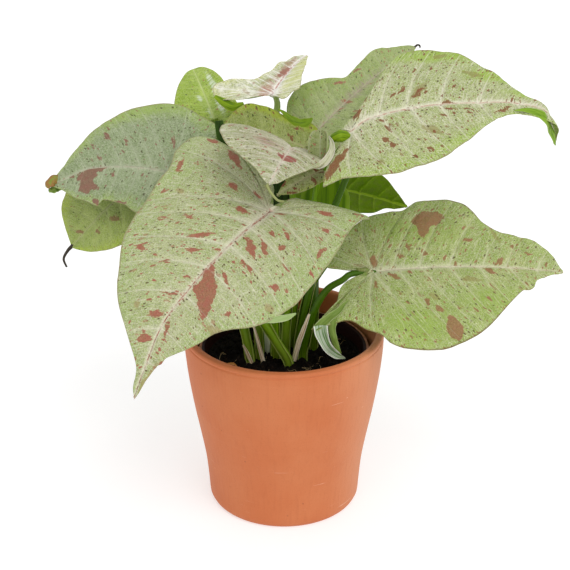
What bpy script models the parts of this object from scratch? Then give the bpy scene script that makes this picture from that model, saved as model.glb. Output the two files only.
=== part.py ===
"""Potted syngonium: twelve arrowhead leaves on arching leaf stalks, in soil in a thin nursery pot
that stands inside a plain terracotta pot. Blender 4.5, metres, +Z up.
The origin is the middle of the terracotta pot's base, on the floor. +X is to the viewer's right
and -Y is the front."""

import math
from typing import NamedTuple

import bmesh
import bpy
import numpy as np

# Driving dimensions, in metres
MM = 0.001
CLEARANCE = 0.0003
POT_HEIGHT = 0.132
POT_RIM_RADIUS = 0.070
POT_WALL = 0.006
POT_FLOOR = 0.008
NURSERY_RIM_RADIUS = 0.0595
NURSERY_RIM_HEIGHT = 0.117
NURSERY_WALL = 0.0012
NURSERY_BASE_RADIUS = 0.042
NURSERY_LIP = 0.0028
DRAIN_HOLE_RADIUS = 0.004
DRAIN_HOLES = 6
DRAIN_RING_RADIUS = 0.027
SOIL_HEIGHT = 0.108
SOIL_LUMP = 0.0016
STALK_DEPTH = 0.018
STALK_NECK = 0.010
NOTCH_REACH = 0.0056
BLADE_THICKNESS = 0.0008
RIB_THICKNESS = 0.0014
RIB_HALF_WIDTH = 0.0025
STALK_TOP_RADIUS = 0.0020

# How finely the shapes are divided
POT_SIDES = 40
NURSERY_SIDES = 36
SOIL_RINGS = 6
STALK_POINTS = 10
FAN_ROWS = 5
RIB_ROWS = 8
BLADE_COLUMNS = (0.0, 0.10, 0.42, 0.74, 1.0)
HALF_WIDTH = 0.45
VEIN_SWEEP = 0.45

# The plain arrowhead outline of one half of a blade, from the notch at the stalk round the basal
# lobe to the tip, as (along the midrib, out from it) in hundredths of the blade's length
ARROWHEAD = ((-4, 2), (-16, 9), (-27, 24), (-24, 40), (-8, 47), (14, 47), (38, 42), (60, 30), (80, 13),
             (92, 4), (100, 0))


class Leaf(NamedTuple):
    """One leaf: where its blade hangs, how it bends and where its stalk is rooted. Millimetres and
    degrees; left and right are the two halves seen from above with the tip pointing away."""
    name: str
    junction: tuple
    tip: tuple
    facing: tuple
    root: tuple
    left: tuple = ARROWHEAD
    right: tuple = ARROWHEAD
    droop: float = 25.0
    hook: float = 0.0
    lobe: float = 15.0
    fold: float = 9.0
    cup: float = 18.0
    wave: float = 1.2
    stalk_radius: float = 3.0
    behind: bool = False
    through: tuple = ()
    colour: tuple = (0.45, 0.58, 0.28)


LEAVES = (
    Leaf("front", (-9, -20, 228), (-95, -117, 140), (-10, -63, 78), (-6, -3),
         left=((-4, 2), (-13, 8), (-17, 22), (-23, 35), (-11, 33), (2, 35), (18, 36), (32, 35), (44, 30),
               (57, 18), (70, 11), (82, 3), (91, 2), (100, 0)),
         right=((-4, 2), (-13, 8), (-18, 27), (-23, 42), (-20, 52), (-11, 55), (2, 50), (18, 48),
                (42, 45), (59, 36), (77, 20), (88, 6), (94, 3), (100, 0)),
         droop=30, cup=24, colour=(0.62, 0.68, 0.42)),
    Leaf("left", (-80, 40, 232), (-165, 56, 215), (-10, -68, 72), (3, -13),
         left=((-4, 2), (-15, 8), (-20, 22), (-6, 34), (22, 34), (37, 25), (50, 23), (57, 26),
               (70, 15), (90, 5), (100, 0)),
         right=((-4, 2), (-24, 14), (-42, 34), (-30, 50), (-6, 56), (14, 61), (37, 54), (58, 48),
                (74, 33), (80, 22), (88, 14), (95, 7), (100, 0)),
         droop=20, fold=8, cup=12, through=((-4, -12, 124), (-24, -9, 158), (-54, 8, 196)),
         colour=(0.45, 0.55, 0.38)),
    Leaf("lower_left", (-95, 62, 223), (-152, 52, 169), (-20, -55, 80), (-24, -5),
         left=((-4, 2), (-16, 9), (-27, 24), (-24, 40), (-6, 48), (20, 50), (45, 46), (66, 37),
               (83, 24), (94, 10), (100, 0)),
         right=((-4, 2), (-16, 9), (-27, 26), (-22, 44), (-2, 53), (25, 56), (55, 54), (77, 46),
                (88, 32), (95, 14), (100, 0)),
         droop=25, fold=8, cup=15, colour=(0.55, 0.65, 0.22)),
    Leaf("back_left", (-50, 90, 253), (-67, 138, 274), (-10, -50, 85), (-17, 2),
         left=((-4, 2), (-16, 9), (-27, 24), (-20, 40), (0, 46), (41, 41), (71, 28), (89, 14), (100, 0)),
         droop=30, cup=15, colour=(0.42, 0.62, 0.12)),
    Leaf("back_pale", (-8, 64, 281), (17, 128, 288), (-30, -50, 80), (-12, 10),
         left=((-4, 2), (-10, 14), (-17, 28), (-21, 42), (-14, 57), (0, 64), (7, 52), (12, 38),
               (22, 24), (44, 17), (75, 12), (92, 5), (100, 0)),
         right=((-4, 2), (-10, 10), (-12, 20), (-2, 28), (8, 29), (27, 23), (52, 17), (78, 9), (100, 0)),
         droop=20, fold=14, cup=10, through=((-12, 18, 130), (-12, 48, 180), (-10, 67, 240)),
         colour=(0.80, 0.76, 0.66)),
    Leaf("centre_pale", (5, 2, 265), (-10, -48, 258), (14, -68, 80), (1, 6),
         left=((-4, 2), (-14, 10), (-24, 22), (-26, 36), (-12, 46), (6, 48), (22, 45), (52, 32),
               (76, 18), (89, 11), (100, 0)),
         right=((-4, 2), (-10, 12), (-15, 23), (-19, 38), (-19, 52), (-14, 68), (-8, 82), (4, 91),
                (22, 90), (40, 85), (53, 77), (64, 64), (76, 46), (84, 26), (93, 12), (100, 0)),
         droop=40, cup=15, through=((2, 10, 135), (4, 14, 180), (6, 14, 225)), colour=(0.78, 0.72, 0.62)),
    Leaf("centre_green", (14, 32, 254), (-42, 40, 265), (-10, -50, 85), (-4, 18),
         left=((-4, 2), (-12, 10), (-10, 20), (10, 26), (40, 28), (70, 22), (90, 8), (100, 0)),
         right=((-4, 2), (-12, 14), (-10, 28), (4, 34), (26, 30), (49, 37), (71, 40), (86, 31),
                (96, 14), (100, 0)),
         droop=25, cup=12, colour=(0.45, 0.56, 0.30)),
    Leaf("under_centre", (25, 5, 247), (-5, -9, 235), (-10, -60, 80), (6, 15),
         left=((-4, 2), (-10, 10), (-8, 20), (10, 24), (35, 26), (60, 23), (78, 15), (92, 5), (100, 0)),
         right=((-4, 2), (-10, 10), (-8, 18), (14, 20), (40, 20), (65, 17), (80, 11), (92, 4), (100, 0)),
         droop=20, cup=12, stalk_radius=2.2, colour=(0.52, 0.60, 0.36)),
    Leaf("right", (45, 10, 274), (186, 48, 250), (0, -42, 90), (10, 6),
         left=((-4, 2), (-3, 5), (2, 11), (7, 17), (16, 26), (27, 32), (37, 32), (45, 29), (52, 25),
               (61, 18), (70, 11), (80, 6), (92, 3), (100, 0)),
         right=((-4, 2), (-6, 6), (-10, 11), (-15, 20), (-20, 25), (-12, 25), (-5, 25), (8, 28), (22, 27),
                (36, 22), (45, 16), (54, 9), (66, 6), (80, 5), (92, 3), (100, 0)),
         droop=60, hook=110, fold=8, cup=15, through=((11, 7, 125), (18, 8, 158), (28, 10, 200)),
         colour=(0.58, 0.68, 0.36)),
    Leaf("back_right", (24, 58, 257), (95, 122, 296), (-10, -40, 90), (21, 12),
         left=((-4, 2), (-8, 12), (-5, 24), (3, 30), (12, 33), (24, 30), (33, 24), (40, 15), (50, 11),
               (62, 12), (73, 15), (84, 12), (94, 5), (100, 0)),
         right=((-4, 2), (-10, 10), (-14, 18), (0, 24), (30, 24), (60, 18), (85, 8), (100, 0)),
         droop=20, fold=8, cup=12, through=((21, 18, 150), (21, 30, 195), (22, 46, 230)),
         colour=(0.42, 0.58, 0.26)),
    Leaf("lower_right", (61, -5, 177), (196, 22, 163), (0, -55, 83), (13, -4),
         left=((-4, 2), (-11, 7), (-20, 13), (-19, 17), (-14, 21), (-5, 28), (4, 33), (18, 34),
               (33, 41), (47, 39), (54, 34), (61, 25), (71, 19), (82, 17), (91, 12), (100, 0)),
         right=((-4, 2), (-9, 5), (-18, 10), (-24, 17), (-34, 29), (-20, 24), (-11, 29), (0, 37),
                (10, 45), (20, 47), (30, 45), (41, 41), (52, 34), (63, 24), (73, 15), (84, 9),
                (93, 6), (100, 0)),
         fold=8, cup=20, stalk_radius=3.2, behind=True,
         through=((14, -4, 120), (20, -7, 146), (29, -8, 164), (40, -8, 172)),
         colour=(0.50, 0.66, 0.28)),
    Leaf("back_low", (16, 66, 213), (90, 82, 188), (10, 90, 25), (14, 19),
         left=((-4, 2), (-14, 8), (-20, 14), (-8, 16), (10, 18), (34, 24), (56, 25), (73, 22),
               (82, 12), (92, 7), (100, 0)),
         right=((-4, 2), (-16, 9), (-24, 20), (-14, 30), (4, 34), (28, 32), (50, 27), (69, 21),
                (84, 11), (94, 4), (100, 0)),
         droop=25, fold=8, cup=10, colour=(0.20, 0.42, 0.04)),
)

# The long basal lobe of the lower right leaf ends in a narrow twisted lappet that hangs into the pot
LAPPET = Leaf("lappet", (22, -38, 153), (41, -34, 126), (-30, -60, 40), (0, 0),
              left=((-4, 2), (-10, 16), (-2, 34), (14, 38), (30, 22), (55, 10), (80, 7), (100, 0)),
              right=((-4, 2), (-10, 14), (8, 18), (33, 20), (53, 28), (76, 22), (92, 8), (100, 0)),
              droop=30, fold=20, cup=10)


def unit(vector):
    """The vector at length one."""
    vector = np.asarray(vector, float)
    return vector / np.linalg.norm(vector)


def smooth_line(points, count):
    """Evenly spaced points along the Catmull-Rom curve through the given points."""
    knots = np.array(points, float)
    knots = np.vstack([2 * knots[0] - knots[1], knots, 2 * knots[-1] - knots[-2]])
    t = np.linspace(0, 1, 16, endpoint=False)[:, None]
    pieces = []
    for a, b, c, d in zip(knots, knots[1:], knots[2:], knots[3:]):
        pieces.append(b + 0.5 * t * (c - a) + t**2 * (a - 2.5 * b + 2 * c - 0.5 * d)
                      + t**3 * (1.5 * (b - c) + 0.5 * (d - a)))
    line = np.vstack(pieces + [knots[-2:-1]])
    run = np.concatenate([[0], np.cumsum(np.linalg.norm(np.diff(line, axis=0), axis=1))])
    even = np.linspace(0, run[-1], count)
    return np.column_stack([np.interp(even, run, line[:, k]) for k in range(line.shape[1])])


def rib_curve(leaf):
    """The midrib seen from the side, for a blade of length one that starts level at the junction.
    Its slope falls evenly by the droop, and by the hook over the last quarter. Behind the junction,
    where the lobes are, it drops by the lobe angle. Gives the places along it, x, z and the slope."""
    along = np.linspace(-0.9, 1.3, 441)
    hooked = np.clip((along - 0.75) / 0.25, 0, 1.6) ** 2
    slope = np.where(along > 0, -(math.radians(leaf.droop) * along + math.radians(leaf.hook) * hooked),
                     -math.radians(leaf.lobe) * along)
    middle = (slope[1:] + slope[:-1]) / 2
    x = np.concatenate([[0], np.cumsum(np.cos(middle) * np.diff(along))])
    z = np.concatenate([[0], np.cumsum(np.sin(middle) * np.diff(along))])
    return along, x - np.interp(0, along, x), z - np.interp(0, along, z), slope


def blade_axes(leaf):
    """Length of the blade in metres, and its forward, left and upward directions at the junction,
    turned so that the bent midrib runs from the junction to the tip."""
    along, x, z, _ = rib_curve(leaf)
    end_x, end_z = np.interp(1, along, x), np.interp(1, along, z)
    chord = (np.array(leaf.tip, float) - np.array(leaf.junction, float)) * MM
    forward = unit(chord)
    up = np.array(leaf.facing, float)
    up = unit(up - forward * (up @ forward))
    left = np.cross(up, forward)
    lift = -math.atan2(end_z, end_x)
    length = np.linalg.norm(chord) / math.hypot(end_x, end_z)
    ahead = math.cos(lift) * forward + math.sin(lift) * up
    return length, ahead, left, math.cos(lift) * up - math.sin(lift) * forward


def blade_point(leaf, along, out):
    """World places of the blade's upper face. along is the part of the length from the junction and
    out the part of it to the side, positive on the left half. Across, the blade rises from the
    midrib by the fold angle and curls back down by the cup angle at its usual half width. Waves lift
    and lower the margin."""
    at, x, z, slope = rib_curve(leaf)
    length, forward, left, up = blade_axes(leaf)
    fold = math.radians(leaf.fold)
    curl = math.radians(leaf.cup) / HALF_WIDTH
    reach = np.abs(out)
    side = (math.sin(fold) - np.sin(fold - curl * reach)) / curl * np.sign(out)
    height = (np.cos(fold - curl * reach) - math.cos(fold)) / curl
    turn = 2 * math.pi * 2.2 * along + np.where(out > 0, 0.0, 1.9)
    height = height + leaf.wave / 100 * np.clip(reach / HALF_WIDTH, 0, 1.3) ** 2 * np.sin(turn)
    angle = np.interp(along, at, slope)
    x = np.interp(along, at, x) - np.sin(angle) * height
    z = np.interp(along, at, z) + np.cos(angle) * height
    return (np.array(leaf.junction) * MM
            + length * (x[..., None] * forward + side[..., None] * left + z[..., None] * up))


def half_rows(outline, sign):
    """Flat places of one half's grid, in parts of the length: rows run from the midrib out to the
    margin like the side veins. Behind the junction they fan out from it."""
    edge = smooth_line(outline, 240) / 100
    foot = np.maximum.accumulate(np.clip(edge[:, 0] - VEIN_SWEEP * np.abs(edge[:, 1]), 0, 1))
    foot[-1] = 1
    index = np.arange(len(edge), dtype=float)
    last = int(np.flatnonzero(foot > 0)[0]) - 1
    ribs = np.linspace(0, 1, RIB_ROWS + 1)[1:]
    picks = np.concatenate([np.linspace(0, last, FAN_ROWS + 1), np.interp(ribs, foot[last:], index[last:])])
    feet = np.concatenate([np.zeros(FAN_ROWS + 1), ribs])
    margin = np.column_stack([np.interp(picks, index, edge[:, k]) for k in range(2)])
    part = np.array(BLADE_COLUMNS)[None, :]
    along = feet[:, None] * (1 - part) + margin[:, :1] * part
    return along, sign * np.abs(margin[:, 1:]) * part


def half_faces(index):
    """Triangles of a grid of vertex numbers, without the ones that shrink to a line."""
    a, b, c, d = index[:-1, :-1], index[1:, :-1], index[1:, 1:], index[:-1, 1:]
    faces = np.concatenate([np.stack([a, b, c], -1).reshape(-1, 3), np.stack([a, c, d], -1).reshape(-1, 3)])
    flat = (faces[:, 0] == faces[:, 1]) | (faces[:, 1] == faces[:, 2]) | (faces[:, 0] == faces[:, 2])
    return faces[~flat]


def blade_mesh(leaf):
    """Vertices and triangles of a blade: its upper face, the same face moved down by the thickness,
    with a rib under the midrib, and the narrow edge between them."""
    along_left, out_left = half_rows(leaf.left, 1)
    along_right, out_right = half_rows(leaf.right, -1)
    rows, columns = along_left.shape
    number = np.arange(rows * columns).reshape(rows, columns)
    number[:FAN_ROWS + 1, 0] = 0
    number[-1] = number[-1, 0]
    other = number + rows * columns
    other[:, 0] = number[:, 0]
    other[-1] = number[-1]
    along = np.concatenate([along_left.ravel(), along_right.ravel()])
    out = np.concatenate([out_left.ravel(), out_right.ravel()])
    faces = np.concatenate([half_faces(number), half_faces(other)[:, ::-1]])
    used, faces = np.unique(faces, return_inverse=True)
    faces = faces.reshape(-1, 3)
    along, out = along[used], out[used]
    top = blade_point(leaf, along, out)
    normal = np.zeros_like(top)
    face_normal = np.cross(top[faces[:, 1]] - top[faces[:, 0]], top[faces[:, 2]] - top[faces[:, 0]])
    for corner in range(3):
        np.add.at(normal, faces[:, corner], face_normal)
    normal /= np.linalg.norm(normal, axis=1, keepdims=True)
    length = blade_axes(leaf)[0]
    rib = RIB_THICKNESS * np.exp(-(out * length / RIB_HALF_WIDTH) ** 2) * (1 - 0.7 * np.clip(along, 0, 1))
    bottom = top - normal * (BLADE_THICKNESS + rib)[:, None]
    count = len(top)
    edges = np.concatenate([faces[:, [0, 1]], faces[:, [1, 2]], faces[:, [2, 0]]])
    key = {tuple(edge) for edge in edges}
    rim = np.array([edge for edge in edges if (edge[1], edge[0]) not in key])
    wall = np.concatenate([np.column_stack([rim[:, 1], rim[:, 0], rim[:, 0] + count]),
                           np.column_stack([rim[:, 1], rim[:, 0] + count, rim[:, 1] + count])])
    return np.concatenate([top, bottom]), np.concatenate([faces, faces[:, ::-1] + count, wall])


def material(name, colour, roughness):
    """A plain Principled material."""
    result = bpy.data.materials.new(name)
    result.use_nodes = True
    shader = result.node_tree.nodes["Principled BSDF"]
    shader.inputs["Base Color"].default_value = (*colour, 1)
    shader.inputs["Roughness"].default_value = roughness
    return result


def add_object(name, data, finish, collection):
    """A named object for the data, with its material, in the collection."""
    result = bpy.data.objects.new(name, data)
    result.data.materials.append(finish)
    collection.objects.link(result)
    return result


def mesh_object(name, vertices, faces, finish, collection):
    """A named object for a list of vertices and faces."""
    mesh = bpy.data.meshes.new(name)
    mesh.from_pydata(np.asarray(vertices).tolist(), [], np.asarray(faces).tolist())
    mesh.update()
    return add_object(name, mesh, finish, collection)


def turned(name, profile, sides, finish, collection):
    """A turned piece: the profile of (radius, height) pairs, from the axis inside, up and over the
    rim, down the outside and back to the axis, carried once round Z."""
    points = [(radius, 0, height) for radius, height in profile]
    edges = [(i, i + 1) for i in range(len(points) - 1)]
    mesh = bpy.data.meshes.new(name)
    mesh.from_pydata(points, edges, [])
    result = add_object(name, mesh, finish, collection)
    screw = result.modifiers.new("Turn", "SCREW")
    screw.steps = sides
    screw.render_steps = sides
    screw.use_merge_vertices = True
    screw.merge_threshold = 0.00005
    screw.use_smooth_shade = True
    return result


def pot_profile():
    """Terracotta pot: a flat base with a rounded edge, a wall that leaves it steeply, opens out above
    a quarter of the height, and a softly rounded rim with a fine groove under it."""
    outer = [(0.0495, 0.0000), (0.0522, 0.0012), (0.0535, 0.0040), (0.0541, 0.0120), (0.0560, 0.0320),
             (0.0594, 0.0520), (0.0636, 0.0740), (0.0672, 0.0970), (0.0690, 0.1130), (0.0694, 0.1215),
             (0.0690, 0.1235), (0.0698, 0.1255), (POT_RIM_RADIUS, 0.1290), (0.0692, 0.1313)]
    rim_inside = POT_RIM_RADIUS - POT_WALL
    rim = [(0.0675, POT_HEIGHT), (rim_inside + 0.0010, 0.1316), (rim_inside, 0.1300)]
    inner = [(radius - POT_WALL, height) for radius, height in outer[8:3:-1]]
    floor = [(0.0455, POT_FLOOR), (0, POT_FLOOR)]
    return [*reversed(floor), *reversed(inner), *reversed(rim), *reversed(outer), (0, 0)]


def nursery_radius(height):
    """Outer radius of the nursery pot's tapered wall at a height."""
    part = (height - POT_FLOOR) / (NURSERY_RIM_HEIGHT - POT_FLOOR)
    return NURSERY_BASE_RADIUS + part * (NURSERY_RIM_RADIUS - NURSERY_LIP - NURSERY_BASE_RADIUS)


def nursery_profile():
    """Nursery pot: a thin tapered wall with a turned-out lip, on the terracotta pot's floor."""
    foot = POT_FLOOR + CLEARANCE
    top = NURSERY_RIM_HEIGHT
    wall_top = nursery_radius(top)
    return [(0, foot + NURSERY_WALL), (nursery_radius(foot) - NURSERY_WALL, foot + NURSERY_WALL),
            (wall_top - NURSERY_WALL, top - 0.0004), (wall_top - 0.6 * NURSERY_WALL, top),
            (NURSERY_RIM_RADIUS - 0.0004, top), (NURSERY_RIM_RADIUS, top - 0.0004),
            (NURSERY_RIM_RADIUS, top - 0.0050), (NURSERY_RIM_RADIUS - NURSERY_WALL, top - 0.0050),
            (NURSERY_RIM_RADIUS - NURSERY_WALL, top - 0.0014), (wall_top, top - 0.0020),
            (nursery_radius(foot + 0.0020), foot + 0.0020), (nursery_radius(foot) - 0.0015, foot), (0, foot)]


def boolean_cut(target, cutters):
    """Cuts the cutters out of the target."""
    for cutter in cutters:
        modifier = target.modifiers.new("Cut " + cutter.name, "BOOLEAN")
        modifier.operation = "DIFFERENCE"
        modifier.solver = "EXACT"
        modifier.object = cutter


def peg(name, radius, low, high, place, cutters, sides=12):
    """An upright round cutter between two heights."""
    mesh = bpy.data.meshes.new(name)
    shape = bmesh.new()
    bmesh.ops.create_cone(shape, cap_ends=True, segments=sides, radius1=radius, radius2=radius,
                          depth=high - low)
    shape.to_mesh(mesh)
    shape.free()
    result = bpy.data.objects.new(name, mesh)
    result.location = (place[0], place[1], (low + high) / 2)
    result.hide_render = True
    result.display_type = "WIRE"
    cutters.objects.link(result)
    return result


def make_pots(parts, cutters):
    """The terracotta pot and the nursery pot inside it, with its drain holes."""
    clay = material("terracotta", (0.72, 0.30, 0.14), 0.85)
    turned("terracotta_pot", pot_profile(), POT_SIDES, clay, parts)
    nursery = turned("nursery_pot", nursery_profile(), NURSERY_SIDES,
                     material("brown_plastic", (0.20, 0.10, 0.07), 0.5), parts)
    drains = []
    for k in range(DRAIN_HOLES):
        angle = 2 * math.pi * k / DRAIN_HOLES
        place = (DRAIN_RING_RADIUS * math.cos(angle), DRAIN_RING_RADIUS * math.sin(angle))
        low = POT_FLOOR - NURSERY_WALL
        drains.append(peg(f"drain_{k}", DRAIN_HOLE_RADIUS, low, low + 5 * NURSERY_WALL, place, cutters, 8))
    boolean_cut(nursery, drains)


def soil_height(x, y):
    """Height of the soil's lumpy surface, level at its edge."""
    part = np.clip(1 - np.hypot(x, y) / (nursery_radius(SOIL_HEIGHT) - NURSERY_WALL), 0, 1)
    lumps = (np.sin(310 * x + 1.0) * np.sin(270 * y) + 0.7 * np.sin(520 * y + 400 * x)
             + 0.5 * np.sin(760 * x - 610 * y))
    return SOIL_HEIGHT + SOIL_LUMP * lumps * np.minimum(1, 4 * part)


def make_soil(parts, cutters):
    """Soil: the filling of the nursery pot up to a lumpy surface, with a plain hole for each stalk."""
    foot = POT_FLOOR + NURSERY_WALL + 2 * CLEARANCE
    inset = NURSERY_WALL + CLEARANCE
    edge = nursery_radius(SOIL_HEIGHT) - inset
    rings = [(edge * k / SOIL_RINGS, SOIL_HEIGHT) for k in range(SOIL_RINGS + 1)]
    rings += [(nursery_radius(foot) - inset, foot), (0, foot)]
    turns = 2 * np.pi * np.arange(NURSERY_SIDES) / NURSERY_SIDES
    vertices = [(0, 0, float(soil_height(0, 0)))]
    for radius, height in rings[1:-1]:
        x, y = radius * np.cos(turns), radius * np.sin(turns)
        z = soil_height(x, y) if height > foot else np.full(NURSERY_SIDES, foot)
        vertices += list(zip(x, y, z))
    vertices.append((0, 0, foot))
    faces = []
    for k in range(NURSERY_SIDES):
        after = (k + 1) % NURSERY_SIDES
        faces.append((0, 1 + k, 1 + after))
        for ring in range(SOIL_RINGS):
            first = 1 + ring * NURSERY_SIDES
            second = first + NURSERY_SIDES
            faces.append((first + k, second + k, second + after))
            faces.append((first + k, second + after, first + after))
        last = 1 + SOIL_RINGS * NURSERY_SIDES
        faces.append((last + after, last + k, len(vertices) - 1))
    soil = mesh_object("soil", vertices, faces, material("soil", (0.03, 0.022, 0.018), 0.95), parts)
    holes = []
    for leaf in LEAVES:
        place = (leaf.root[0] * MM, leaf.root[1] * MM)
        radius = leaf.stalk_radius * MM + 2 * CLEARANCE
        holes.append(peg(f"hole_{leaf.name}", radius, SOIL_HEIGHT - STALK_DEPTH - CLEARANCE,
                         SOIL_HEIGHT + 0.02, place, cutters))
    boolean_cut(soil, holes)


def stalk_path(leaf):
    """Points along a leaf stalk, from its end in the soil, straight up out of it and over in one
    curve to its seat: under the blade at the midrib, or behind it where the stalk lies in the notch."""
    _, forward, _, up = blade_axes(leaf)
    junction = np.array(leaf.junction) * MM
    top_radius = stalk_top(leaf)
    if leaf.behind:
        end = junction - forward * NOTCH_REACH - up * BLADE_THICKNESS / 2
        lead = forward
    else:
        end = junction + forward * top_radius - up * (BLADE_THICKNESS + RIB_THICKNESS + 2 * CLEARANCE)
        lead = up
    root = np.array([leaf.root[0] * MM, leaf.root[1] * MM, SOIL_HEIGHT])
    neck = end - lead * STALK_NECK
    rise = neck[2] - root[2]
    if leaf.through:
        middle = [np.array(point) * MM for point in leaf.through]
    else:
        t = np.array([0.2, 0.4, 0.6, 0.8])[:, None]
        first = root + np.array([0, 0, 0.55 * rise])
        second = neck - unit(2 * lead + np.array([0, 0, 1.0])) * 0.30 * rise
        middle = list((1 - t)**3 * root + 3 * (1 - t)**2 * t * first + 3 * (1 - t) * t**2 * second
                      + t**3 * neck)
    bottom = root - np.array([0, 0, STALK_DEPTH])
    out_of_soil = root + np.array([0, 0, 0.003])
    route = [out_of_soil, *middle, neck]
    return np.vstack([bottom, smooth_line(route, STALK_POINTS), end])


def stalk_top(leaf):
    """Radius of a stalk where it meets its blade."""
    return min(STALK_TOP_RADIUS, 0.8 * leaf.stalk_radius * MM)


def make_leaf(leaf, parts, cutters):
    """A leaf: its blade and its tapering stalk. The long lobe of the lower right leaf has its lappet
    joined on; the exact solver leaves only a scrap of that pair, so the manifold one joins it."""
    finish = material(f"{leaf.name}_leaf", leaf.colour, 0.5)
    blade = mesh_object(f"{leaf.name}_blade", *blade_mesh(leaf), finish, parts)
    if leaf.name == "lower_right":
        lappet = mesh_object("lappet", *blade_mesh(LAPPET), finish, cutters)
        lappet.hide_render = True
        lappet.display_type = "WIRE"
        join = blade.modifiers.new("Lappet", "BOOLEAN")
        join.operation = "UNION"
        join.solver = "MANIFOLD"
        join.object = lappet
    path = stalk_path(leaf)
    curve = bpy.data.curves.new(f"{leaf.name}_stalk", "CURVE")
    curve.dimensions = "3D"
    curve.bevel_depth = leaf.stalk_radius * MM
    curve.bevel_resolution = 2
    curve.use_fill_caps = True
    spline = curve.splines.new("POLY")
    spline.points.add(len(path) - 1)
    top = stalk_top(leaf) / (leaf.stalk_radius * MM)
    for k, (point, place) in enumerate(zip(spline.points, path)):
        part = max(0, k - 1) / (len(path) - 2)
        point.co = (*place, 1)
        point.radius = 1 + (top - 1) * part
    add_object(f"{leaf.name}_stalk", curve, material(f"{leaf.name}_green", (0.30, 0.50, 0.12), 0.45), parts)


def main():
    """Builds the plant in its pots."""
    for old in list(bpy.data.objects):
        bpy.data.objects.remove(old)
    parts = bpy.data.collections.new("potted_syngonium")
    cutters = bpy.data.collections.new("cutters")
    for collection in (parts, cutters):
        bpy.context.scene.collection.children.link(collection)
    make_pots(parts, cutters)
    make_soil(parts, cutters)
    for leaf in LEAVES:
        make_leaf(leaf, parts, cutters)


main()
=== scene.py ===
"""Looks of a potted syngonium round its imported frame: a clay pot, a thin inner pot, soil with crumbs
and fibres, twelve veined and speckled arrowhead leaves on ribbed stalks, and papery sheaths.
Metres, +Z up, the origin under the middle of the pot. +X is to the viewer's right and -Y is the
front. Places on leaves are in millimetres, and outlines in hundredths of the blade's length."""

import logging
import math
from dataclasses import dataclass, field
from enum import Enum

import bpy
import numpy as np
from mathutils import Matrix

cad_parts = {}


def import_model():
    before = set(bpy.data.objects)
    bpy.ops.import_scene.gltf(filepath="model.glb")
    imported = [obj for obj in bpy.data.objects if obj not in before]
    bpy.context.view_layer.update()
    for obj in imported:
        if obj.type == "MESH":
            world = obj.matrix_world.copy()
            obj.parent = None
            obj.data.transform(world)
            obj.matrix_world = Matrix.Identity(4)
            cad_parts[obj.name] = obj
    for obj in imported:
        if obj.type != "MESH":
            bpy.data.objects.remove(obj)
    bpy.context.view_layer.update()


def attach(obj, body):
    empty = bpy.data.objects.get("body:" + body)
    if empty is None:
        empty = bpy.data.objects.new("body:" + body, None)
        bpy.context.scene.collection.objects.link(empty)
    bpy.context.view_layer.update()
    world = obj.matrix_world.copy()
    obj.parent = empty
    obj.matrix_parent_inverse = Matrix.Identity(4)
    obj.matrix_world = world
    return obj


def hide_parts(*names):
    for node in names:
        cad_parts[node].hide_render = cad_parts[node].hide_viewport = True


LOG = logging.getLogger("syngonium")

Array = np.ndarray
Socket = bpy.types.NodeSocket
Material = bpy.types.Material
Colour = tuple[int, int, int]
Point = tuple[float, float, float]
Outline = tuple[tuple[float, float], ...]
Spots = tuple[tuple[float, float, float, float, float], ...]

MM = 0.001
WHITE = (1.0, 1.0, 1.0, 1.0)
BODY = "root"

# The pots and the soil, in metres, as the frame has them
POT_HEIGHT = 0.132
POT_RIM_RADIUS = 0.070
POT_WALL = 0.006
POT_FLOOR = 0.008
NURSERY_RIM_RADIUS = 0.0595
NURSERY_RIM_HEIGHT = 0.117
NURSERY_WALL = 0.0012
NURSERY_BASE_RADIUS = 0.042
NURSERY_LIP = 0.0028
CLEARANCE = 0.0003
SOIL_HEIGHT = 0.108
SOIL_LUMP = 0.0016

# Leaf stalks, in metres, with the blade and the rib of the solids that lie over a stalk's end
STALK_DEPTH = 0.018
STALK_NECK = 0.010
NOTCH_REACH = 0.0056
STALK_TOP_RADIUS = 0.0020
STALK_SIDES = 28
CAD_BLADE = 0.0008
CAD_RIB = 0.0014

# What one radian round a tube counts as in the mark "way", in metres
TUBE_ROUND = 0.003

# Blades: thickness in metres, half width in parts of the length, veins' sweep and bow in parts of reach
BLADE_THICKNESS = 0.0005
HALF_WIDTH = 0.45
VEIN_SWEEP = 0.45
VEIN_BOW = 0.050

# Side veins: where they part the lobe's edge, where they leave the midrib, and how far each may be off
LOBE_VEINS = (0.0, 0.34, 0.68, 1.0)
SIDE_VEINS = (0.0, 0.11, 0.24, 0.38, 0.53, 0.69, 0.86, 1.0)
VEIN_SHIFT = 0.022

# What one radian round the lobe counts as in the mark "row", in parts of the blade's length
LOBE_ROUND = 0.35

# Cushions between the side veins: height and reach in parts of the blade's length
CUSHION = (0.0090, 0.022)

# Relief in millimetres: grooves and the ribs below as depth and half width, swells as height and size
VEIN_GROOVE = (0.40, 0.8)
MIDRIB_GROOVE = (0.6, 1.5)
VEIN_BELOW = (0.5, 0.9)
MIDRIB_BELOW = (1.6, 2.4)
SWELLS = ((0.75, 22.0), (0.20, 7.0))

# The length in millimetres from which a blade has its full relief
FULL_RELIEF_SIZE = 110

# Margins: waves in one blade's length, and the ruffle's radians round the whole edge
MARGIN_WAVES = 2.2
RUFFLE_PACE = 44

# Edges of leaves and strips that bend more than this many degrees stay sharp
LEAF_CREASE = 60.0

# The camera of the photograph, in metres and degrees
CAMERA_PLACE = (0.0007, -1.0687, 0.6777)
CAMERA_TILT = 25.66
CAMERA_LENS = 108.6
CAMERA_SENSOR = 36.0


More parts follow.
